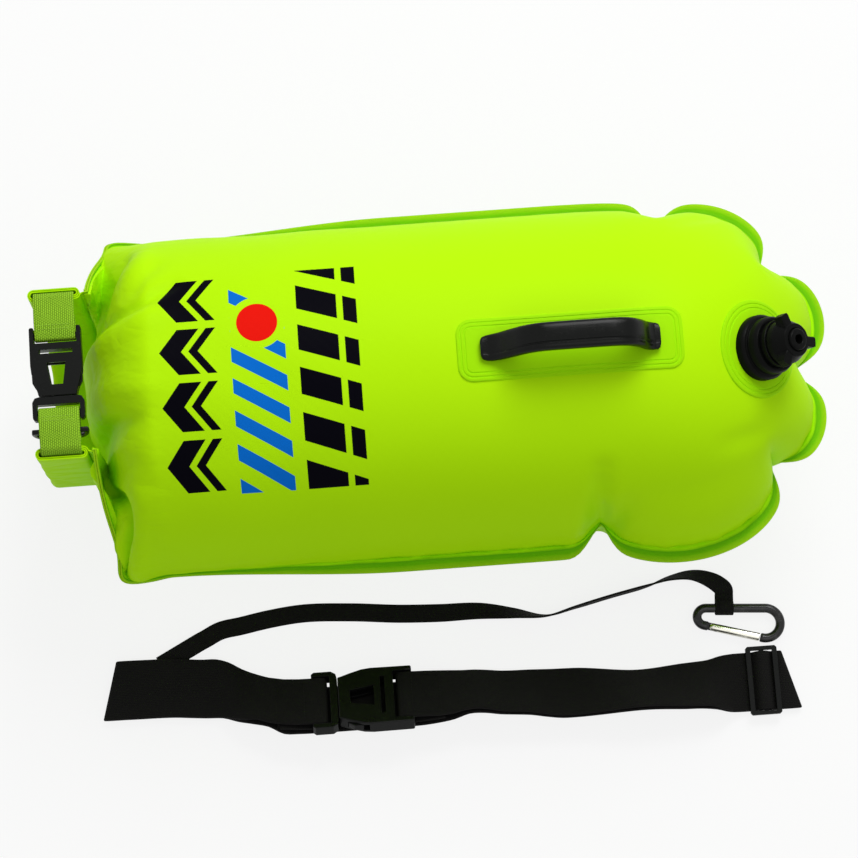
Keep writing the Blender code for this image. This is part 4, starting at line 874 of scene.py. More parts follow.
# The tube, its seam and its flange
body_radius = 0.105
seam_height = body_radius - 0.003
panel_wall = 0.001
tube_radius = body_radius - panel_wall
tube_rise = tube_radius - clearance / 2
tube_start, tube_end = -0.165, 0.125
panel_length = math.pi * body_radius
latitudes = np.linspace(-math.pi / 2, math.pi / 2, 201)
flange_width, flange_least = 0.010, 0.003
flange_steps = np.array((0.12, 0.35, 0.42, 0.62, 0.69, 0.9, 1))
weld_share = np.linspace(1 / len(flange_steps), 1, len(flange_steps))
bead_height = 0.0003

# The valve end, with its puckers and the lobes between them by their bearing from its centre
valve_end_length = 0.118
end_fullness = 2.4
pucker_bearings = np.radians((-104, -36, -3, 33, 75))
pucker_shares = (0.124, 0.112, 0.109, 0.105, 0.09)
lobe_shares = (0.075, 0.03, 0.045, 0.035)
pucker_spread = math.radians(7)
pucker_reach, pucker_start, pucker_sink = 0.8, (-0.045, -0.0225), 0.3
tuck_spread, tuck_depth = 0.085, 0.92

# The mouth: the U of the roll, the corners that it pulls in and the cloth that swells over it
mouth_depth, mouth_lip = 0.040, 0.0015
corner_sharpness = 1.4
collar_half_span = 0.050
collar_offset = 0.014
collar_base = 0.027 + collar_half_span
collar_leg = (panel_length - math.pi * collar_half_span) / 2
collar_top = collar_base + collar_leg
ear_turn, ear_spread, ear_latitude = 0.49, 0.30, 0.30
near_ear, far_ear = np.array((-0.012, -0.005, 0)), np.array((-0.009, 0.004, 0))
pillow, pillow_half = 0.014, 0.032
pillow_rise, pillow_fall = (0.1, 0.95), (1.25, 1.55)

# Slack in the skin, and the cloth's weave
wave_depth, end_gather_depth, side_gather_depth, gather_height = 0.0006, 0.0009, 0.0004, 0.014
gather_start, gather_run = -0.150, 0.05
cloth_pitch = 0.0011


def end_radius(bearing):
    """Distance from the end's centre to its welded edge, before the puckers."""
    across = np.abs(np.sin(bearing)) / body_radius
    along = np.maximum(np.cos(bearing), 0) / valve_end_length
    return (across ** end_fullness + along ** end_fullness) ** (-1 / end_fullness)


def body_points(side, x, y, height):
    """Points between the panels' inner skins, drawn in where the welded edge puckers."""
    along = x - tube_end
    bearing = np.arctan2(y, along)
    reach = np.where(along < 0, np.abs(y) / body_radius, np.hypot(along, y) / end_radius(bearing))
    strength = eased(pucker_reach, 1, reach) * eased(*pucker_start, along)
    drawn = sum(share * np.exp(-np.abs(bearing - notch) / pucker_spread)
                for share, notch in zip(pucker_shares, pucker_bearings))
    swell = sum(share * np.sin(np.pi * np.clip((bearing - low) / (high - low), 0, 1))
                for share, low, high in zip(lobe_shares, pucker_bearings, pucker_bearings[1:]))
    scale = 1 + strength * (swell - drawn)
    z = seam_height + side * height * (1 - strength * drawn * pucker_sink / max(pucker_shares))
    if side < 0:
        z = np.maximum(z, panel_wall + clearance / 2)
    return np.stack((tube_end + along * scale, y * scale, z), -1)


def untucked(bearing):
    """Share of the flange's width that shows. Its edge is drawn in with the puckers."""
    tucks = sum(np.exp(-((bearing - notch) / tuck_spread) ** 2) for notch in pucker_bearings)
    return 1 - tuck_depth * tucks


def with_flange(row, near, far):
    """Row of points with the flange's steps at both ends."""
    steps = flange_steps[:, None]
    return np.vstack((row[0] + (near - row[0]) * steps[::-1], row, row[-1] + (far - row[-1]) * steps))


def edge_point(side, x, reach):
    """Point of the flange's edge."""
    return body_points(side, np.array([x]), np.array([reach]), np.zeros(1))[0]


def tube_row(side, x, flange):
    """Row across the tube, from one flange's edge over the skin to the other's."""
    row = body_points(side, np.full(len(latitudes), x), tube_radius * np.sin(latitudes),
                      tube_rise * np.cos(latitudes))
    bearing = math.atan2(tube_radius, x - tube_end)
    near, far = (tube_radius + flange * untucked(end * bearing) for end in (-1, 1))
    return with_flange(row, edge_point(side, x, -near), edge_point(side, x, far))


def collar_points(run, inward):
    """Places on the U of the roll in Y and Z, from the near leg's top round to the far leg's top."""
    radius = collar_half_span - inward
    turn = np.clip((run - collar_leg) / collar_half_span, 0, math.pi)
    rise = np.maximum(collar_leg - run, 0) + np.maximum(run - panel_length + collar_leg, 0)
    return np.stack((collar_offset - radius * np.cos(turn), collar_base - radius * np.sin(turn) + rise), -1)


def mouth_row(side, turn):
    """Row between the tube and the U of the roll. Each step's direction eases from one to the other."""
    blend = 1 - math.cos(turn)
    slide = blend ** corner_sharpness
    ring = tube_row(side, tube_start, flange_least)[len(flange_steps):-len(flange_steps), 1:]
    loop = collar_points((latitudes / math.pi + 0.5) * panel_length, 0)
    angle, length = (np.stack([f(d[:, 0], d[:, 1]) for d in (np.diff(ring, axis=0), np.diff(loop, axis=0))])
                     for f in (lambda y, z: np.arctan2(z, y), np.hypot))
    angle = (1 - blend) * angle[0] + blend * angle[1]
    length = (1 - blend) * length[0] + blend * length[1]
    row = np.vstack(((0, 0), np.cumsum(np.stack((length * np.cos(angle), length * np.sin(angle)), -1), 0)))
    near, far = (a + (b - a) * slide for a, b in ((ring[0], loop[0]), (ring[-1], loop[-1])))
    depth = 1
    if side < 0:
        low, mouth_low = ring[:, 1].min(), loop[:, 1].min()
        depth = (near[1] - low - (mouth_low - low) * blend) / -row[:, 1].min()
    y = near[0] + row[:, 0] * (far[0] - near[0]) / row[-1, 0]
    z = near[1] + (row[:, 1] - row[-1, 1] * np.linspace(0, 1, len(row))) * depth
    row = np.column_stack((np.full(len(row), tube_start - mouth_depth * math.sin(turn)), y, z))
    strength = eased(0, 0.2, turn) * math.exp(-((turn - ear_turn) / ear_spread) ** 2)
    for end, pull in ((-math.pi / 2, near_ear), (math.pi / 2, far_ear)):
        row += strength * np.exp(-((latitudes - end) / ear_latitude) ** 2)[:, None] * pull
    if side > 0:
        swollen = np.exp(-((row[:, 1] - collar_offset) / pillow_half) ** 4)
        row[:, 0] -= pillow * swollen * eased(*pillow_rise, turn) * (1 - eased(*pillow_fall, turn))
    edge = np.array((0, math.cos(math.pi / 2 * blend), math.sin(math.pi / 2 * blend))) * flange_least
    return with_flange(row, row[0] + edge * (1, -1, 1), row[-1] + edge)


def end_row(side, turn, flange):
    """Row round the valve end by its turn from the tube, with a share of the flange past the seam."""
    share = np.abs(np.sin(latitudes))
    reach = np.maximum(1 - share ** end_fullness, 0) ** (1 / end_fullness)
    length = valve_end_length - panel_wall
    out = unit(np.stack((reach ** (end_fullness - 1) / length,
                         np.sign(latitudes) * share ** (end_fullness - 1) / tube_radius), -1)) * flange
    bearing = np.arctan2(tube_radius * np.sin(latitudes), length * reach * math.sin(turn))
    out *= untucked(bearing)[:, None]
    row = body_points(side, tube_end + length * reach * math.sin(turn) + out[:, 0],
                      tube_radius * np.sin(latitudes) + out[:, 1],
                      tube_rise * np.cos(latitudes) * max(math.cos(turn), 0))
    near, far = (tube_radius + flange_width * untucked(end * math.pi / 2) for end in (-1, 1))
    return with_flange(row, edge_point(side, tube_end, -near), edge_point(side, tube_end, far))


def panel_rows(side):
    """Grid of a panel from the roll's lip to the flange round the valve end."""
    rows = [mouth_row(side, math.pi / 2) - (mouth_lip, 0, 0)]
    rows += [mouth_row(side, math.radians(turn)) for turn in range(90, 0, -2)]
    for x in np.linspace(tube_start, tube_end, 100):
        widened = eased(tube_start, (tube_start + tube_end) / 2, x)
        rows.append(tube_row(side, x, flange_least + (flange_width - flange_least) * widened))
    rows += [end_row(side, math.radians(turn), 0) for turn in (*range(2, 86, 2), 86.5, 89, 90)]
    rows += [end_row(side, math.pi / 2, flange_width * step) for step in flange_steps]
    return np.array(rows)


def outward(rows, side):
    """Direction out of the bag at each point of the grid."""
    across = np.concatenate((rows[:, 1:], rows[:, -1:]), 1) - np.concatenate((rows[:, :1], rows[:, :-1]), 1)
    along = np.concatenate((rows[:1], rows[:-1])) - np.concatenate((rows[1:], rows[-1:]))
    ways = unit(np.cross(across, along)) * side
    short = np.linalg.norm(along, axis=-1) < 0.00002
    for i in range(1, len(ways)):
        ways[i][short[i]] = ways[i - 1][short[i]]
    return ways


# Folds of the front panel, in plan: points, half width, depth (a dip is positive, a bulge negative)
front_folds = (
    (((-0.210, 0.034), (-0.198, 0.038), (-0.176, 0.043), (-0.150, 0.058)), 0.0040, 0.0036),
    (((-0.207, 0.025), (-0.185, 0.030), (-0.158, 0.040)), 0.009, -0.0030),
    (((-0.203, 0.042), (-0.197, 0.054), (-0.189, 0.073), (-0.181, 0.084)), 0.0045, 0.0048),
    (((-0.186, 0.052), (-0.178, 0.066), (-0.170, 0.082)), 0.0070, -0.0034),
    (((-0.176, 0.050), (-0.168, 0.066), (-0.160, 0.074)), 0.0050, 0.0022),
    (((-0.207, 0.100), (-0.208, 0.085), (-0.211, 0.066)), 0.0035, 0.0040),
    (((-0.199, 0.100), (-0.199, 0.084), (-0.205, 0.062)), 0.0040, -0.0034),
    (((-0.212, -0.022), (-0.196, -0.021), (-0.176, -0.026)), 0.0050, 0.0034),
    (((-0.209, -0.006), (-0.188, -0.004), (-0.164, -0.010)), 0.0100, -0.0026),
    (((-0.206, -0.034), (-0.192, -0.036), (-0.176, -0.042)), 0.0070, -0.0026),
    (((-0.207, -0.043), (-0.199, -0.055), (-0.190, -0.066), (-0.187, -0.081), (-0.192, -0.090),
      (-0.199, -0.113)), 0.0030, 0.0088),
    (((-0.181, -0.058), (-0.177, -0.070), (-0.179, -0.084), (-0.186, -0.104)), 0.0065, -0.0050),
    (((-0.206, -0.062), (-0.203, -0.080), (-0.203, -0.098)), 0.0050, -0.0040),
    (((0.160, 0.080), (0.182, 0.088), (0.199, 0.094)), 0.0050, 0.0012),
    (((0.176, -0.062), (0.188, -0.058), (0.207, -0.051)), 0.0060, 0.0012),
    (((0.094, -0.101), (0.098, -0.088), (0.101, -0.074)), 0.0065, 0.0046),
    (((0.100, -0.103), (0.108, -0.098), (0.116, -0.092)), 0.0055, 0.0034),
    (((0.205, -0.024), (0.196, -0.018), (0.190, -0.010)), 0.0080, 0.0024),
)
fold_start = (-0.015, 0.010)


def fold_depth(x, y, folds):
    """How far the folds push the skin in at each place."""
    depth = np.zeros_like(x)
    for points, width, deep in folds:
        points = smooth_rows(points, 6)
        runs = distances(points)
        nearest, share = np.full(x.shape, 1.0), np.zeros_like(x)
        for a, b, start, end in zip(points, points[1:], runs, runs[1:]):
            aside, ahead = b - a
            t = np.clip(((x - a[0]) * aside + (y - a[1]) * ahead) / (end - start) ** 2, 0, 1)
            away = np.hypot(x - a[0] - aside * t, y - a[1] - ahead * t)
            closer = away < nearest
            nearest = np.where(closer, away, nearest)
            share = np.where(closer, (start + (end - start) * t) / runs[-1], share)
        fade = np.sin(np.pi * (0.12 + 0.76 * share)) ** 0.7
        depth += deep * fade * np.exp(-(nearest / width) ** 2)
    return depth


def slack(x, y, z, side):
    """How far the skin stands off its smooth form: soft waves, folds, and gathers along the seam."""
    bearing = np.arctan2(y, x - tube_end)
    waves = np.sin(x * 75 + 1.3 * np.sin(y * 60)) * np.sin(y * 52 + 2.1) * eased(0.02, -0.14, x)
    end_gathers = np.sin(bearing * 34) * np.sin(bearing * 13 + 1)
    side_gathers = np.sin(x * 190 + side) * np.sin(x * 67)
    gathers = np.where(x > tube_end, end_gathers * end_gather_depth, side_gathers * side_gather_depth)
    depth = waves * wave_depth + gathers * np.exp(-np.abs(z - seam_height) / gather_height)
    if side > 0:
        depth -= fold_depth(x, y, front_folds) * eased(*fold_start, z - seam_height)
    return depth


def panel_mesh(name, side):
    """Closed mesh of a panel: both skins and the rim, with its folds, welds and slack."""
    rows = panel_rows(side)
    ways = outward(rows, side)
    count, width = rows.shape[:2]
    steps = len(flange_steps)
    inner = np.zeros((count, width))
    inner[:count - steps, steps:width - steps] = 1
    bead = np.zeros((count, width))
    bead[:, [steps - 2, steps - 5, width - steps + 1, width - steps + 4]] = 1
    bead[[count - 3, count - 6]] = 1
    shift = slack(*np.moveaxis(rows, -1, 0), side) * inner + clearance / 2
    skins = [rows + ways * (shift + panel_wall + bead * bead_height)[..., None],
             rows + ways * shift[..., None]]
    for skin, floor_level in zip(skins, (0, 0.0001)):
        skin[..., 2] = np.maximum(skin[..., 2], floor_level)
    index = np.arange(count * width).reshape(count, width)
    grid = np.stack((index[:-1, :-1], index[1:, :-1], index[1:, 1:], index[:-1, 1:]), -1).reshape(-1, 4)
    far = grid[:, ::-1] + count * width
    rim_line = np.concatenate((index[0], index[1:, -1], index[-1, -2::-1], index[-2:0:-1, 0]))
    after = np.roll(rim_line, -1)
    walls = np.stack((rim_line, after, after + count * width, rim_line + count * width), -1)
    faces = np.concatenate((grid, far, walls))
    if side < 0:
        faces = faces[:, ::-1]
    mesh = bpy.data.meshes.new(name)
    mesh.from_pydata(np.concatenate(skins).reshape(-1, 3).tolist(), [], faces.tolist())
    across = np.zeros(width)
    across[:steps], across[width - steps:] = weld_share[::-1], weld_share
    along = np.concatenate((np.zeros(count - steps), weld_share))
    weld = np.maximum(across, along[:, None])
    mesh.attributes.new("weld", "FLOAT", "POINT").data.foreach_set("value", np.tile(weld.ravel(), 2))
    return cleaned(mesh, merged=True)


black_ink, blue_ink, red_ink = (0.0012, 0.001, 0.003), (0.003, 0.15, 0.62), (0.80, 0.008, 0.003)
# Stops across the welded flange: a painted highlight at its lip, where the skin turns onto it, then painted
# shade in the weld line, easing outward to the flange's own olive film.
weld_light_and_shade_stops = ((0.2, (0.44, 0.88, 0.004)), (0.34, (0.12, 0.46, 0.003)), (0.62, (0.20, 0.57, 0.004)),
              (0.95, (0.36, 0.66, 0.010)))
ink_edge = 0.0003
print_low, print_high = -0.072, 0.062
print_level = seam_height + 0.03
chevron_count, chevron_point, chevron_share = 4, 0.013, 0.86
chevron_strokes = ((-0.1600, -0.1465), (-0.1425, -0.1365))
bar_count, bar_slant, bar_share = 7, 0.6, 0.5
bar_stroke, bar_origin = (-0.1170, -0.0840), -0.119
disc_place, disc_radius, disc_clearing = (-0.1005, 0.0275), 0.0125, 0.0168
block_count, block_slant, block_share = 5, 0.35, 0.62
block_strokes, block_origin = ((-0.0765, -0.0520), (-0.0485, -0.0400)), -0.078


def within(value, low, high, soft=ink_edge):
    """1 between two bounds, else 0, fading over a soft edge."""
    finish = value.finish
    return finish.limited((value - low) / soft) * finish.limited((high - value) / soft)


def printed(finish, colour, x, y, z):
    """Screen print on the front: black chevrons and blocks either side of slanted blue bars, a red disc."""
    top = finish.limited((z - print_level) / ink_edge)
    rows = within(y, print_low, print_high)
    rise, depth = y - print_low, print_high - print_low
    reach = abs((rise / (depth / chevron_count)).maths("FRACT") - 0.5) * 2
    arrow = x - reach * chevron_point
    chevrons = sum(within(arrow, *stroke) for stroke in chevron_strokes)
    chevrons = chevrons * within(reach, -1, chevron_share, 0.01)
    slant = (rise + (x - bar_origin) * bar_slant) / (depth / bar_count)
    bars = within(slant.maths("FRACT"), 0, bar_share, 0.02) * within(slant, 0, bar_count, 0.02)
    aside, ahead = x - disc_place[0], y - disc_place[1]
    away = (aside * aside + ahead * ahead).maths("SQRT")
    bars = bars * within(x, *bar_stroke) * finish.limited((away - disc_clearing) / ink_edge)
    lean = (rise + (x - block_origin) * block_slant) / (depth / block_count)
    blocks = sum(within(x, *stroke) for stroke in block_strokes)
    blocks = blocks * within(lean.maths("FRACT"), 0, block_share, 0.012)
    colour = finish.mix(finish.limited(chevrons + blocks) * rows * top, colour, black_ink)
    colour = finish.mix(bars * rows * top, colour, blue_ink)
    return finish.mix(within(away, -1, disc_radius) * top, colour, red_ink)


def coated_finish(name, low=(0.46, 0.87, 0.003), high=(0.50, 0.90, 0.004), with_print=False):
    """Coated nylon in neon: satin film with the cloth's weave just felt through it, and a painted highlight
    and painted shade along the welded flange.
    """
    finish = Finish(name)
    where = finish.place()
    x, y, z = finish.parts(where)
    cloud = finish.noise(where, 14, 3)
    weave = (x / cloth_pitch).maths("SINE") * (y / cloth_pitch).maths("SINE")
    colour = finish.mix(finish.limited((cloud - 0.35) * 0.6), low, high)
    weld = finish.node("ShaderNodeAttribute", {"attribute_name": "weld"}, out=2)
    weld_cloud = (finish.noise(where, 45, 2) - 0.5) * 0.22
    # The flange's ramp paints a highlight along its lip and shade in the weld line beside it, over the
    # flange's own olive film.
    weld_band_light_and_shade = finish.node("ShaderNodeValToRGB", {"stops": weld_light_and_shade_stops}, {0: weld + weld_cloud})
    colour = finish.mix(finish.limited(weld / weld_share[0]), colour, weld_band_light_and_shade)
    if with_print:
        colour = printed(finish, colour, x, y, z)
    gathered = finish.limited((gather_start - x) / gather_run)
    stretched = finish.node("ShaderNodeMapping", inputs={"Vector": where, "Scale": (18, 46, 30)})
    crinkle = abs(finish.noise(stretched, 1, 3) - 0.5) * gathered
    return finish.feed(base_color=colour, roughness=0.50 + (cloud - 0.5) * 0.1, specular_ior_level=0.1,
                       ior=1.2, normal=finish.bump(crinkle + weave * 0.004, 0.005))


def panel(name, node, side, finish):
    """Panel of the bag, on the front for side 1 and on the back for side -1."""
    skin = add_piece(name, panel_mesh(name, side), finish, smooth_angle=60)
    return fitted(skin, node, "bag")


neon_coated = coated_finish("neon_coated_fabric")
front = panel("front_panel_skin", "front_panel", 1, coated_finish("printed_fabric", with_print=True))
panel("back_panel_skin", "back_panel", -1, neon_coated)


# Handle and its patch
# The patch is a rounded rectangle of the same coated cloth, welded on with two embossed lines. The
# handle is one glossy black moulding, arched clear of the bag, with a groove along its top.

patch_thickness = 0.0008
patch_lift = 0.00012
patch_finish = coated_finish("neon_patch_film", low=(0.36, 0.80, 0.003), high=(0.40, 0.84, 0.003))
front_tree = surface(front)


def welded_patch(name, node, matrix, outline, profile, closed=False):
    """Patch on the front panel, laid along the matrix's own Z, from its outline at each inset."""
    way = (matrix.to_3x3() @ Vector((0, 0, 1))).normalized()
    rings = []
    for inset, height in profile:
        ring = []
        for a, b in outline(inset):
            hit, normal, _, _ = front_tree.ray_cast(matrix @ Vector((a, b, ray_start)), -way)
            out = normal if normal.dot(way) > 0 else -normal
            ring.append(tuple(hit + out * (patch_lift + patch_thickness * height)))
        rings.append(ring)
    return fitted(loft(name, rings, patch_finish, closed), node, "bag")


patch_half_length, patch_half_width, patch_corner = 0.068, 0.019, 0.009
long_steps, short_steps, corner_steps = 18, 6, 7


def patch_outline(inset):
    """Rounded rectangle drawn in by an inset, always with the same count of points."""
    radius = max(patch_corner - inset, 0.0004)
    a, b = patch_half_length - inset - radius, max(patch_half_width - inset - radius, 0.00002)
    points = []
    for middle, start, length, steps in (
            ((a, b), 0, 2 * a, long_steps), ((-a, b), 90, 2 * b, short_steps),
            ((-a, -b), 180, 2 * a, long_steps), ((a, -b), 270, 2 * b, short_steps)):
        points += bend(middle, radius, start, start + 90, corner_steps).tolist()
        turn = math.radians(start + 90)
        edge = np.array(points[-1])
        way = np.array((-math.sin(turn), math.cos(turn)))
        points += [(edge + way * length * k / steps).tolist() for k in range(1, steps)]
    return points


handle_place = 0.086
crown = seam_height + body_radius
weld_rows = (
    # inset from the edge, and height as a share of the thickness
    (0.0176, 0), (0.012, 0), (0.006, 0), (0, 0), (0, 0.5), (0.00025, 0.85), (0.0007, 1), (0.0018, 1),
    (0.0021, 0.55), (0.0028, 0.55), (0.0031, 1), (0.0043, 1.02), (0.0046, 0.55), (0.0053, 0.55),
    (0.0056, 1), (0.009, 1), (0.013, 1), (0.0176, 1))
welded_patch("handle_patch_weld", "handle_patch", Matrix.Translation((handle_place, 0, crown)),
             patch_outline, weld_rows)

handle_seat = crown + clearance * 2.5 + patch_thickness
handle_half = 0.054
handle_half_width = 0.0095
handle_rise = 0.019
handle_foot, handle_swell = 0.0035, 0.003
handle_stations = (
    # place, rise and width as shares
    (-1, 0, 0.50), (-0.985, 0, 0.66), (-0.95, 0, 0.78), (-0.90, 0.01, 0.84), (-0.82, 0.1, 0.87),
    (-0.66, 0.45, 0.9), (-0.5, 0.8, 0.9), (-0.35, 0.96, 0.9), (-0.15, 1, 0.9), (0.3, 1, 0.9),
    (0.5, 0.97, 0.9), (0.64, 0.86, 0.9), (0.76, 0.55, 0.9), (0.87, 0.12, 0.9), (0.93, 0.01, 0.87),
    (0.97, 0, 0.82), (0.99, 0, 0.72), (1, 0, 0.55))
handle_section = np.array((
    (1, -0.62), (1, -0.2), (0.985, 0.2), (0.93, 0.58), (0.83, 0.82), (0.68, 0.95), (0.5, 1), (0.2, 1.02),
    (-0.1, 1.02), (-0.34, 1), (-0.42, 0.97), (-0.46, 0.84), (-0.52, 0.82), (-0.56, 0.94), (-0.64, 0.96),
    (-0.78, 0.87), (-0.92, 0.6), (-0.985, 0.2), (-1, -0.2), (-1, -0.62), (-0.96, -0.85), (-0.84, -0.97),
    (-0.5, -1), (0.5, -1), (0.84, -0.97), (0.96, -0.85)))
handle_rows = smooth_rows([(place * handle_half, rise * (handle_rise + handle_swell), 0, rise, width)
                           for place, rise, width in handle_stations], 5)
handle_path, handle_sections = [], []
for place, _, _, rise, width in handle_rows:
    rise = min(max(rise, 0), 1)
    thick = handle_foot + handle_swell * rise
    handle_path.append((handle_place + place, 0, handle_seat + thick / 2 + handle_rise * rise))
    handle_sections.append(handle_section * (handle_half_width * width, thick / 2))
gloss_black = moulded_finish("gloss_black", (0.0025, 0.003, 0.0025), roughness=0.16, grain=5200,
                             worn_colour=(0.007, 0.008, 0.007), gloss=0.13)
handle_rings = swept(handle_path, (0, 0, 1), np.array(handle_sections))
fitted(loft("handle_grip", handle_rings, gloss_black, smooth_angle=35),
       "handle", "bag")


# Valve
# Oral valve: a welded disc of film, and on it a moulded base with a stepped collar, a turning knob
# with three lugs, and the mouthpiece that lifts inside it on an O-ring.

valve_plastic = moulded_finish("valve_plastic", (0.0028, 0.003, 0.0028), roughness=0.34, grain=3800,
                               worn_colour=(0.007, 0.0075, 0.007), gloss=0.05)
valve_spot = Vector((0.202569, -0.005472, 0.180293))
valve_way = Vector((0.61588, -0.054931, 0.785923)).normalized()
valve_right = Vector((0, 1, 0)).cross(valve_way).normalized()
valve_frame = axes(valve_spot, valve_right, valve_way.cross(valve_right), valve_way)
valve_patch_radius = 0.030
valve_rows = (
    # inset from the edge, and height as a share of the thickness
    (0, 0), (0, 0.5), (0.0003, 0.85), (0.0008, 1), (0.0020, 1), (0.0023, 0.55), (0.0030, 0.55),
    (0.0033, 1), (0.0046, 1), (0.0049, 0.55), (0.0056, 0.55), (0.0059, 1), (0.012, 1), (0.0172, 1),
    (0.0172, 0), (0.012, 0), (0.006, 0))


def disc_outline(inset):
    """Circle drawn in by an inset."""
    return circle(valve_patch_radius - inset, 96)


valve_patch = welded_patch("valve_patch_weld", "valve_patch", valve_frame, disc_outline, valve_rows,
                           closed=True)


def spun(name, node, body, profile, sides=72, shape=None):
    """Turned moulding of the valve, its rings changed by a shape where it has one."""
    rings = turned(profile, sides)
    if shape:
        rings = shape(rings)
    moulding = loft(name, placed(valve_frame, rings), valve_plastic, closed=True,
                    smooth_angle=32)
    return fitted(moulding, node, body)


patch_tree = surface(valve_patch)


def seated(rings):
    """Rings of the base, with the foot of its flange let down on the patch."""
    for spot in rings[5]:
        start = valve_frame @ (Vector(spot) + Vector((0, 0, 0.01)))
        hit = patch_tree.ray_cast(start, -valve_way)[0]
        if hit:
            spot[:] = valve_frame.inverted() @ (hit + valve_way * 0.0001)
    return rings


spun("valve_seat_ring", "valve_base", "bag", [
    (0.0075, -0.009), (0.0165, -0.009), (0.0165, -0.0075), (0.0115, -0.0075), (0.0115, 0.0002),
    (0.0200, 0.0002), (0.0200, 0.0037), (0.0198, 0.0042), (0.0190, 0.0052), (0.0186, 0.0056),
    (0.0175, 0.0058), (0.0172, 0.0060), (0.0172, 0.0072), (0.0169, 0.0075), (0.0145, 0.0075),
    (0.0145, 0.0182), (0.0142, 0.0185), (0.0078, 0.0185), (0.0075, 0.0182)], shape=seated)
spun("valve_step_ring", "valve_collar", "bag", [
    (0.0148, 0.0078), (0.0172, 0.0078), (0.0175, 0.0081), (0.0175, 0.0119), (0.0173, 0.0125),
    (0.0165, 0.0140), (0.0162, 0.0143), (0.0148, 0.0143)])

lug_radius = 0.0171
lug_half, lug_fade = 0.17, 0.13
lug_foot, lug_top = (0.0234, 0.0242), (0.0299, 0.0305)
knob_bore = 0.0085


def lugged(rings):
    """Rings of the knob, with three rounded lugs drawn out of its upper half."""
    bearing = np.arctan2(rings[..., 1], rings[..., 0])
    radius = np.hypot(rings[..., 0], rings[..., 1])
    away = np.abs((bearing * 3 / (2 * np.pi) + 0.5) % 1 - 0.5) * 2 * np.pi / 3
    lug = 1 - eased(lug_half, lug_half + lug_fade, away)
    level = eased(*lug_foot, rings[..., 2]) * (1 - eased(*lug_top, rings[..., 2]))
    scale = np.where(radius > knob_bore, 1 + lug * level * (lug_radius - radius) / radius, 1)
    rings[..., :2] *= scale[..., None]
    return rings


spun("valve_grip", "valve_knob", "knob", [
    (0.0071, 0.0188), (0.0132, 0.0188), (0.0135, 0.0191), (0.0135, 0.0230), (0.0134, 0.0234),
    (0.0132, 0.0242), (0.0128, 0.0252), (0.0118, 0.0272), (0.0108, 0.0292), (0.0105, 0.0299),
    (0.0103, 0.0305), (0.0098, 0.0311), (0.0074, 0.0313), (0.0071, 0.0311)], sides=120, shape=lugged)
spun("valve_mouthpiece", "valve_stem", "mouthpiece", [
    (0.003, 0.0108), (0.0068, 0.0108), (0.0068, 0.0130), (0.0057, 0.0130), (0.0057, 0.0152),
    (0.0068, 0.0152), (0.0068, 0.0321), (0.0065, 0.0327), (0.0060, 0.0332), (0.0056, 0.0333),
    (0.0034, 0.0333), (0.0030, 0.0330)], sides=48)
black_rubber = moulded_finish("black_rubber", (0.010, 0.010, 0.010), roughness=0.55, grain=2600,
                              worn_colour=(0.02, 0.02, 0.02))
recoated("valve_seal", black_rubber)


# Roll-top collar
# The mouth of both panels, wound flat round a plastic strip and bent up into a U, with its edges
# showing as a flat spiral at the top of both legs.

roll_straight = 0.0125
roll_first = 0.00145
roll_step = 0.00055
roll_layer = 0.0008
roll_half = 0.018425
roll_x = tube_start - mouth_depth - mouth_lip - clearance - roll_half
spiral = [(-roll_straight, roll_first)]
for count, (end, steps) in enumerate([(-90, 9)] * 4 + [(15, 6)]):
    hand = 1 - count % 2 * 2
    radius = roll_first + (count + 0.5) * roll_step
    centre = (hand * roll_straight, -hand * roll_step / 2)
    spiral += bend(centre, hand * radius, 90, end, steps).tolist()
spiral.append((roll_straight + radius + 0.002, 0))
spiral_line = []
for a, b in zip(spiral, spiral[1:]):
    steps = max(int(math.dist(a, b) / 0.002), 1)
    spiral_line += [np.array(a) + np.subtract(b, a) * k / steps for k in range(steps)]
spiral_line = np.array([*spiral_line, spiral[-1]])
spiral_headings = unit(np.gradient(spiral_line, axis=0))
half_layer = np.column_stack((-spiral_headings[:, 1], spiral_headings[:, 0])) * roll_layer / 2
roll_section = np.vstack((spiral_line + half_layer, (spiral_line - half_layer)[::-1]))


def collar_rings(section, shares):
    """Rings of a section carried round the U."""
    runs = np.asarray(shares) * panel_length
    place = collar_points(runs, 0)
    inward = unit(collar_points(runs, 0.001) - place)
    middle = np.column_stack((np.full(len(runs), roll_x), place))
    inward = np.column_stack((np.zeros(len(runs)), inward))
    return middle[:, None] + section[:, :1] * (1, 0, 0) + inward[:, None] * section[:, 1:]


roll_shares = np.linspace(0, 1, 90)
roll_rings = collar_rings(roll_section, roll_shares)
outer_turn = np.clip((np.hypot(*(roll_section / (roll_straight + 0.0035, 0.0042)).T) - 0.75) * 4, 0, 1)
roll_wave = 0.0005 * np.sin(roll_shares * 61 + 0.7) * np.sin(roll_shares * 23)
roll_wave *= eased(0.02, 0.1, roll_shares) * (1 - eased(0.9, 0.98, roll_shares))
roll_rings[..., 0] += roll_wave[:, None] * outer_turn * np.sign(roll_section[:, 0])
fitted(loft("roll_top_collar", roll_rings, neon_coated, smooth_angle=50),
       "roll_collar", "bag")
recoated("collar_stiffener", black_plastic)


# Closure straps
# Green ribbed webbing sewn into the roll's ends, each over a buckle bar, round it and back on itself.
# The near one also holds the D-ring of the tether.

strap_width = 0.025
strap_thickness = 0.0013
closure_height = collar_top + 0.0025
closure_bar, closure_bar_reach = 0.0032, 0.0018
ring_rod = 0.0032
ring_y = -0.0225
green_webbing = webbing_finish("green_webbing", yarn=(0.32, 0.60, 0.030), shadow=(0.11, 0.25, 0.006),
                               rib=0.0012, pick=0.0016, depth=0.0003)


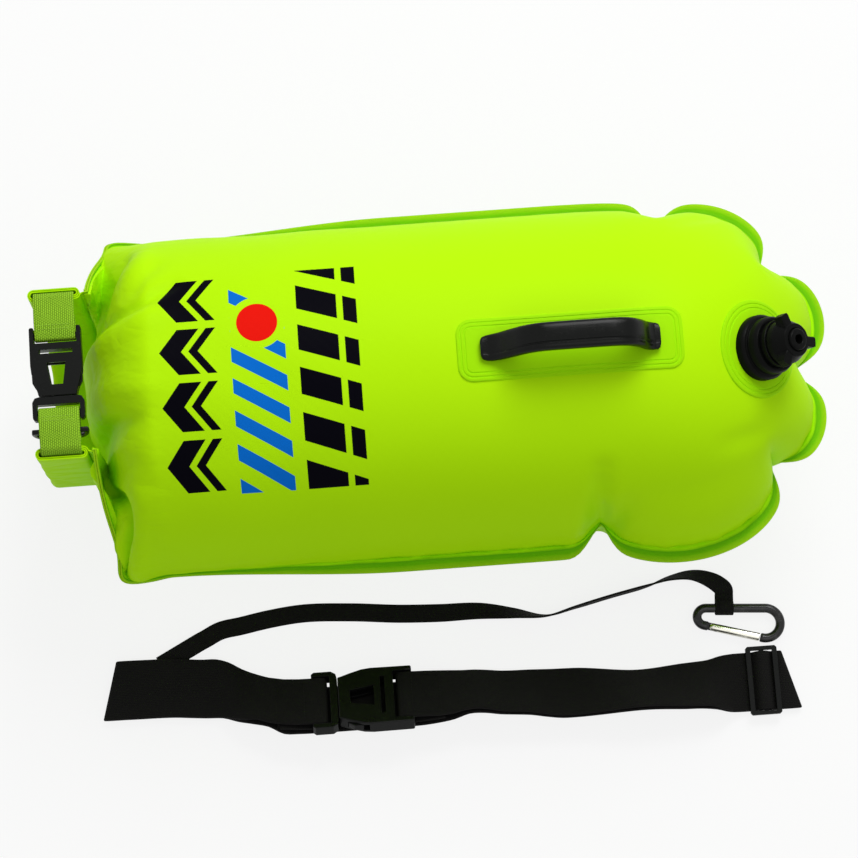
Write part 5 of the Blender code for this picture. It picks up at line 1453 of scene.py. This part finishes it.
def closure_strap(name, node, leg, bar_edge, lap_end, toward):
    """Strap from a leg of the roll, over a buckle bar, round it and back under itself."""
    lay = closure_bar / 2 + clearance + strap_thickness / 2
    rise = closure_height + lay - collar_top
    path = [(leg, collar_top - 0.012), (leg, collar_top)]
    path += [(leg + toward * rise * (1 - math.cos(a)), collar_top + rise * math.sin(a))
             for a in np.radians((22, 45, 68, 90))]
    path += round_turn(bar_edge - toward * clearance, toward * closure_bar_reach, closure_height, -lay)
    path += [(lap_end, closure_height - lay),
             (lap_end - toward * strap_width / 6, closure_height + lay - strap_thickness * 1.5)]
    path = smooth_rows([(roll_x, y, z) for y, z in path], 5)
    strap = ribbon(name, path, (1, 0, 0), strap_width, strap_thickness, green_webbing)
    return fitted(strap, node, "bag")


plug_bar_y, socket_bar_y, far_lap_y = -0.0099, 0.0356, 0.0452
near_strap = closure_strap("near_strap", "closure_strap_near", collar_offset - collar_half_span, plug_bar_y,
                           ring_y - ring_rod, 1)
far_strap = closure_strap("far_strap", "closure_strap_far", collar_offset + collar_half_span, socket_bar_y,
                          far_lap_y, -1)
green_thread = Finish("green_thread").feed(base_color=(0.34, 0.58, 0.05), roughness=0.6,
                                            specular_ior_level=0.2)
strap_pitch = 0.0021
seam_half = strap_width * 0.42
strap_seams = []
for strap, places in ((near_strap, (-0.0165, -0.0140)), (far_strap, (0.0405, 0.0430))):
    across_strap = [[(roll_x - seam_half, y, closure_height), (roll_x + seam_half, y, closure_height)]
                    for y in places]
    strap_seams += dropped(across_strap, (0, 0, -1), strap, lift=0.0001)
stitch("strap_stitches", strap_seams, strap_pitch, green_thread, "bag")


# Closure buckle and tether ring
# The same side-release buckle as on the belt, smaller, in the same black acetal, and a moulded D-ring
# that swings in the near strap. The tether can be clipped to it.

clasp("closure", ("bag", "bag", "closure_latch_left", "closure_latch_right"), edge=0.00035)

bow_half = strap_width / 2 + clearance + ring_rod
bow_drop = 0.021
bow = [(bow_half * math.cos(a), -bow_drop * math.sin(a) ** 0.8) for a in np.linspace(0, math.pi, 49)]
bow += [(bow_half * s, 0) for s in np.linspace(-1, 1, 13)[1:-1]]
bow = np.array(bow)
bow_way = unit(np.roll(bow, -1, 0) - np.roll(bow, 1, 0))
bow_out = np.column_stack((-bow_way[:, 1], np.zeros(len(bow)), bow_way[:, 0]))
bow_line = np.column_stack((bow[:, 0] + roll_x, np.full(len(bow), ring_y), bow[:, 1] + closure_height))
ring_section = circle(1, 16)
ring_section *= ring_rod / 2 / (np.abs(ring_section) ** 4).sum(1)[:, None] ** 0.25
ring_rings = bow_line[:, None] + ring_section[:, :1] * (0, 1, 0) + bow_out[:, None] * ring_section[:, 1:]
fitted(loft("tether_d_ring", ring_rings, black_plastic, closed=True),
       "tether_ring", "ring")
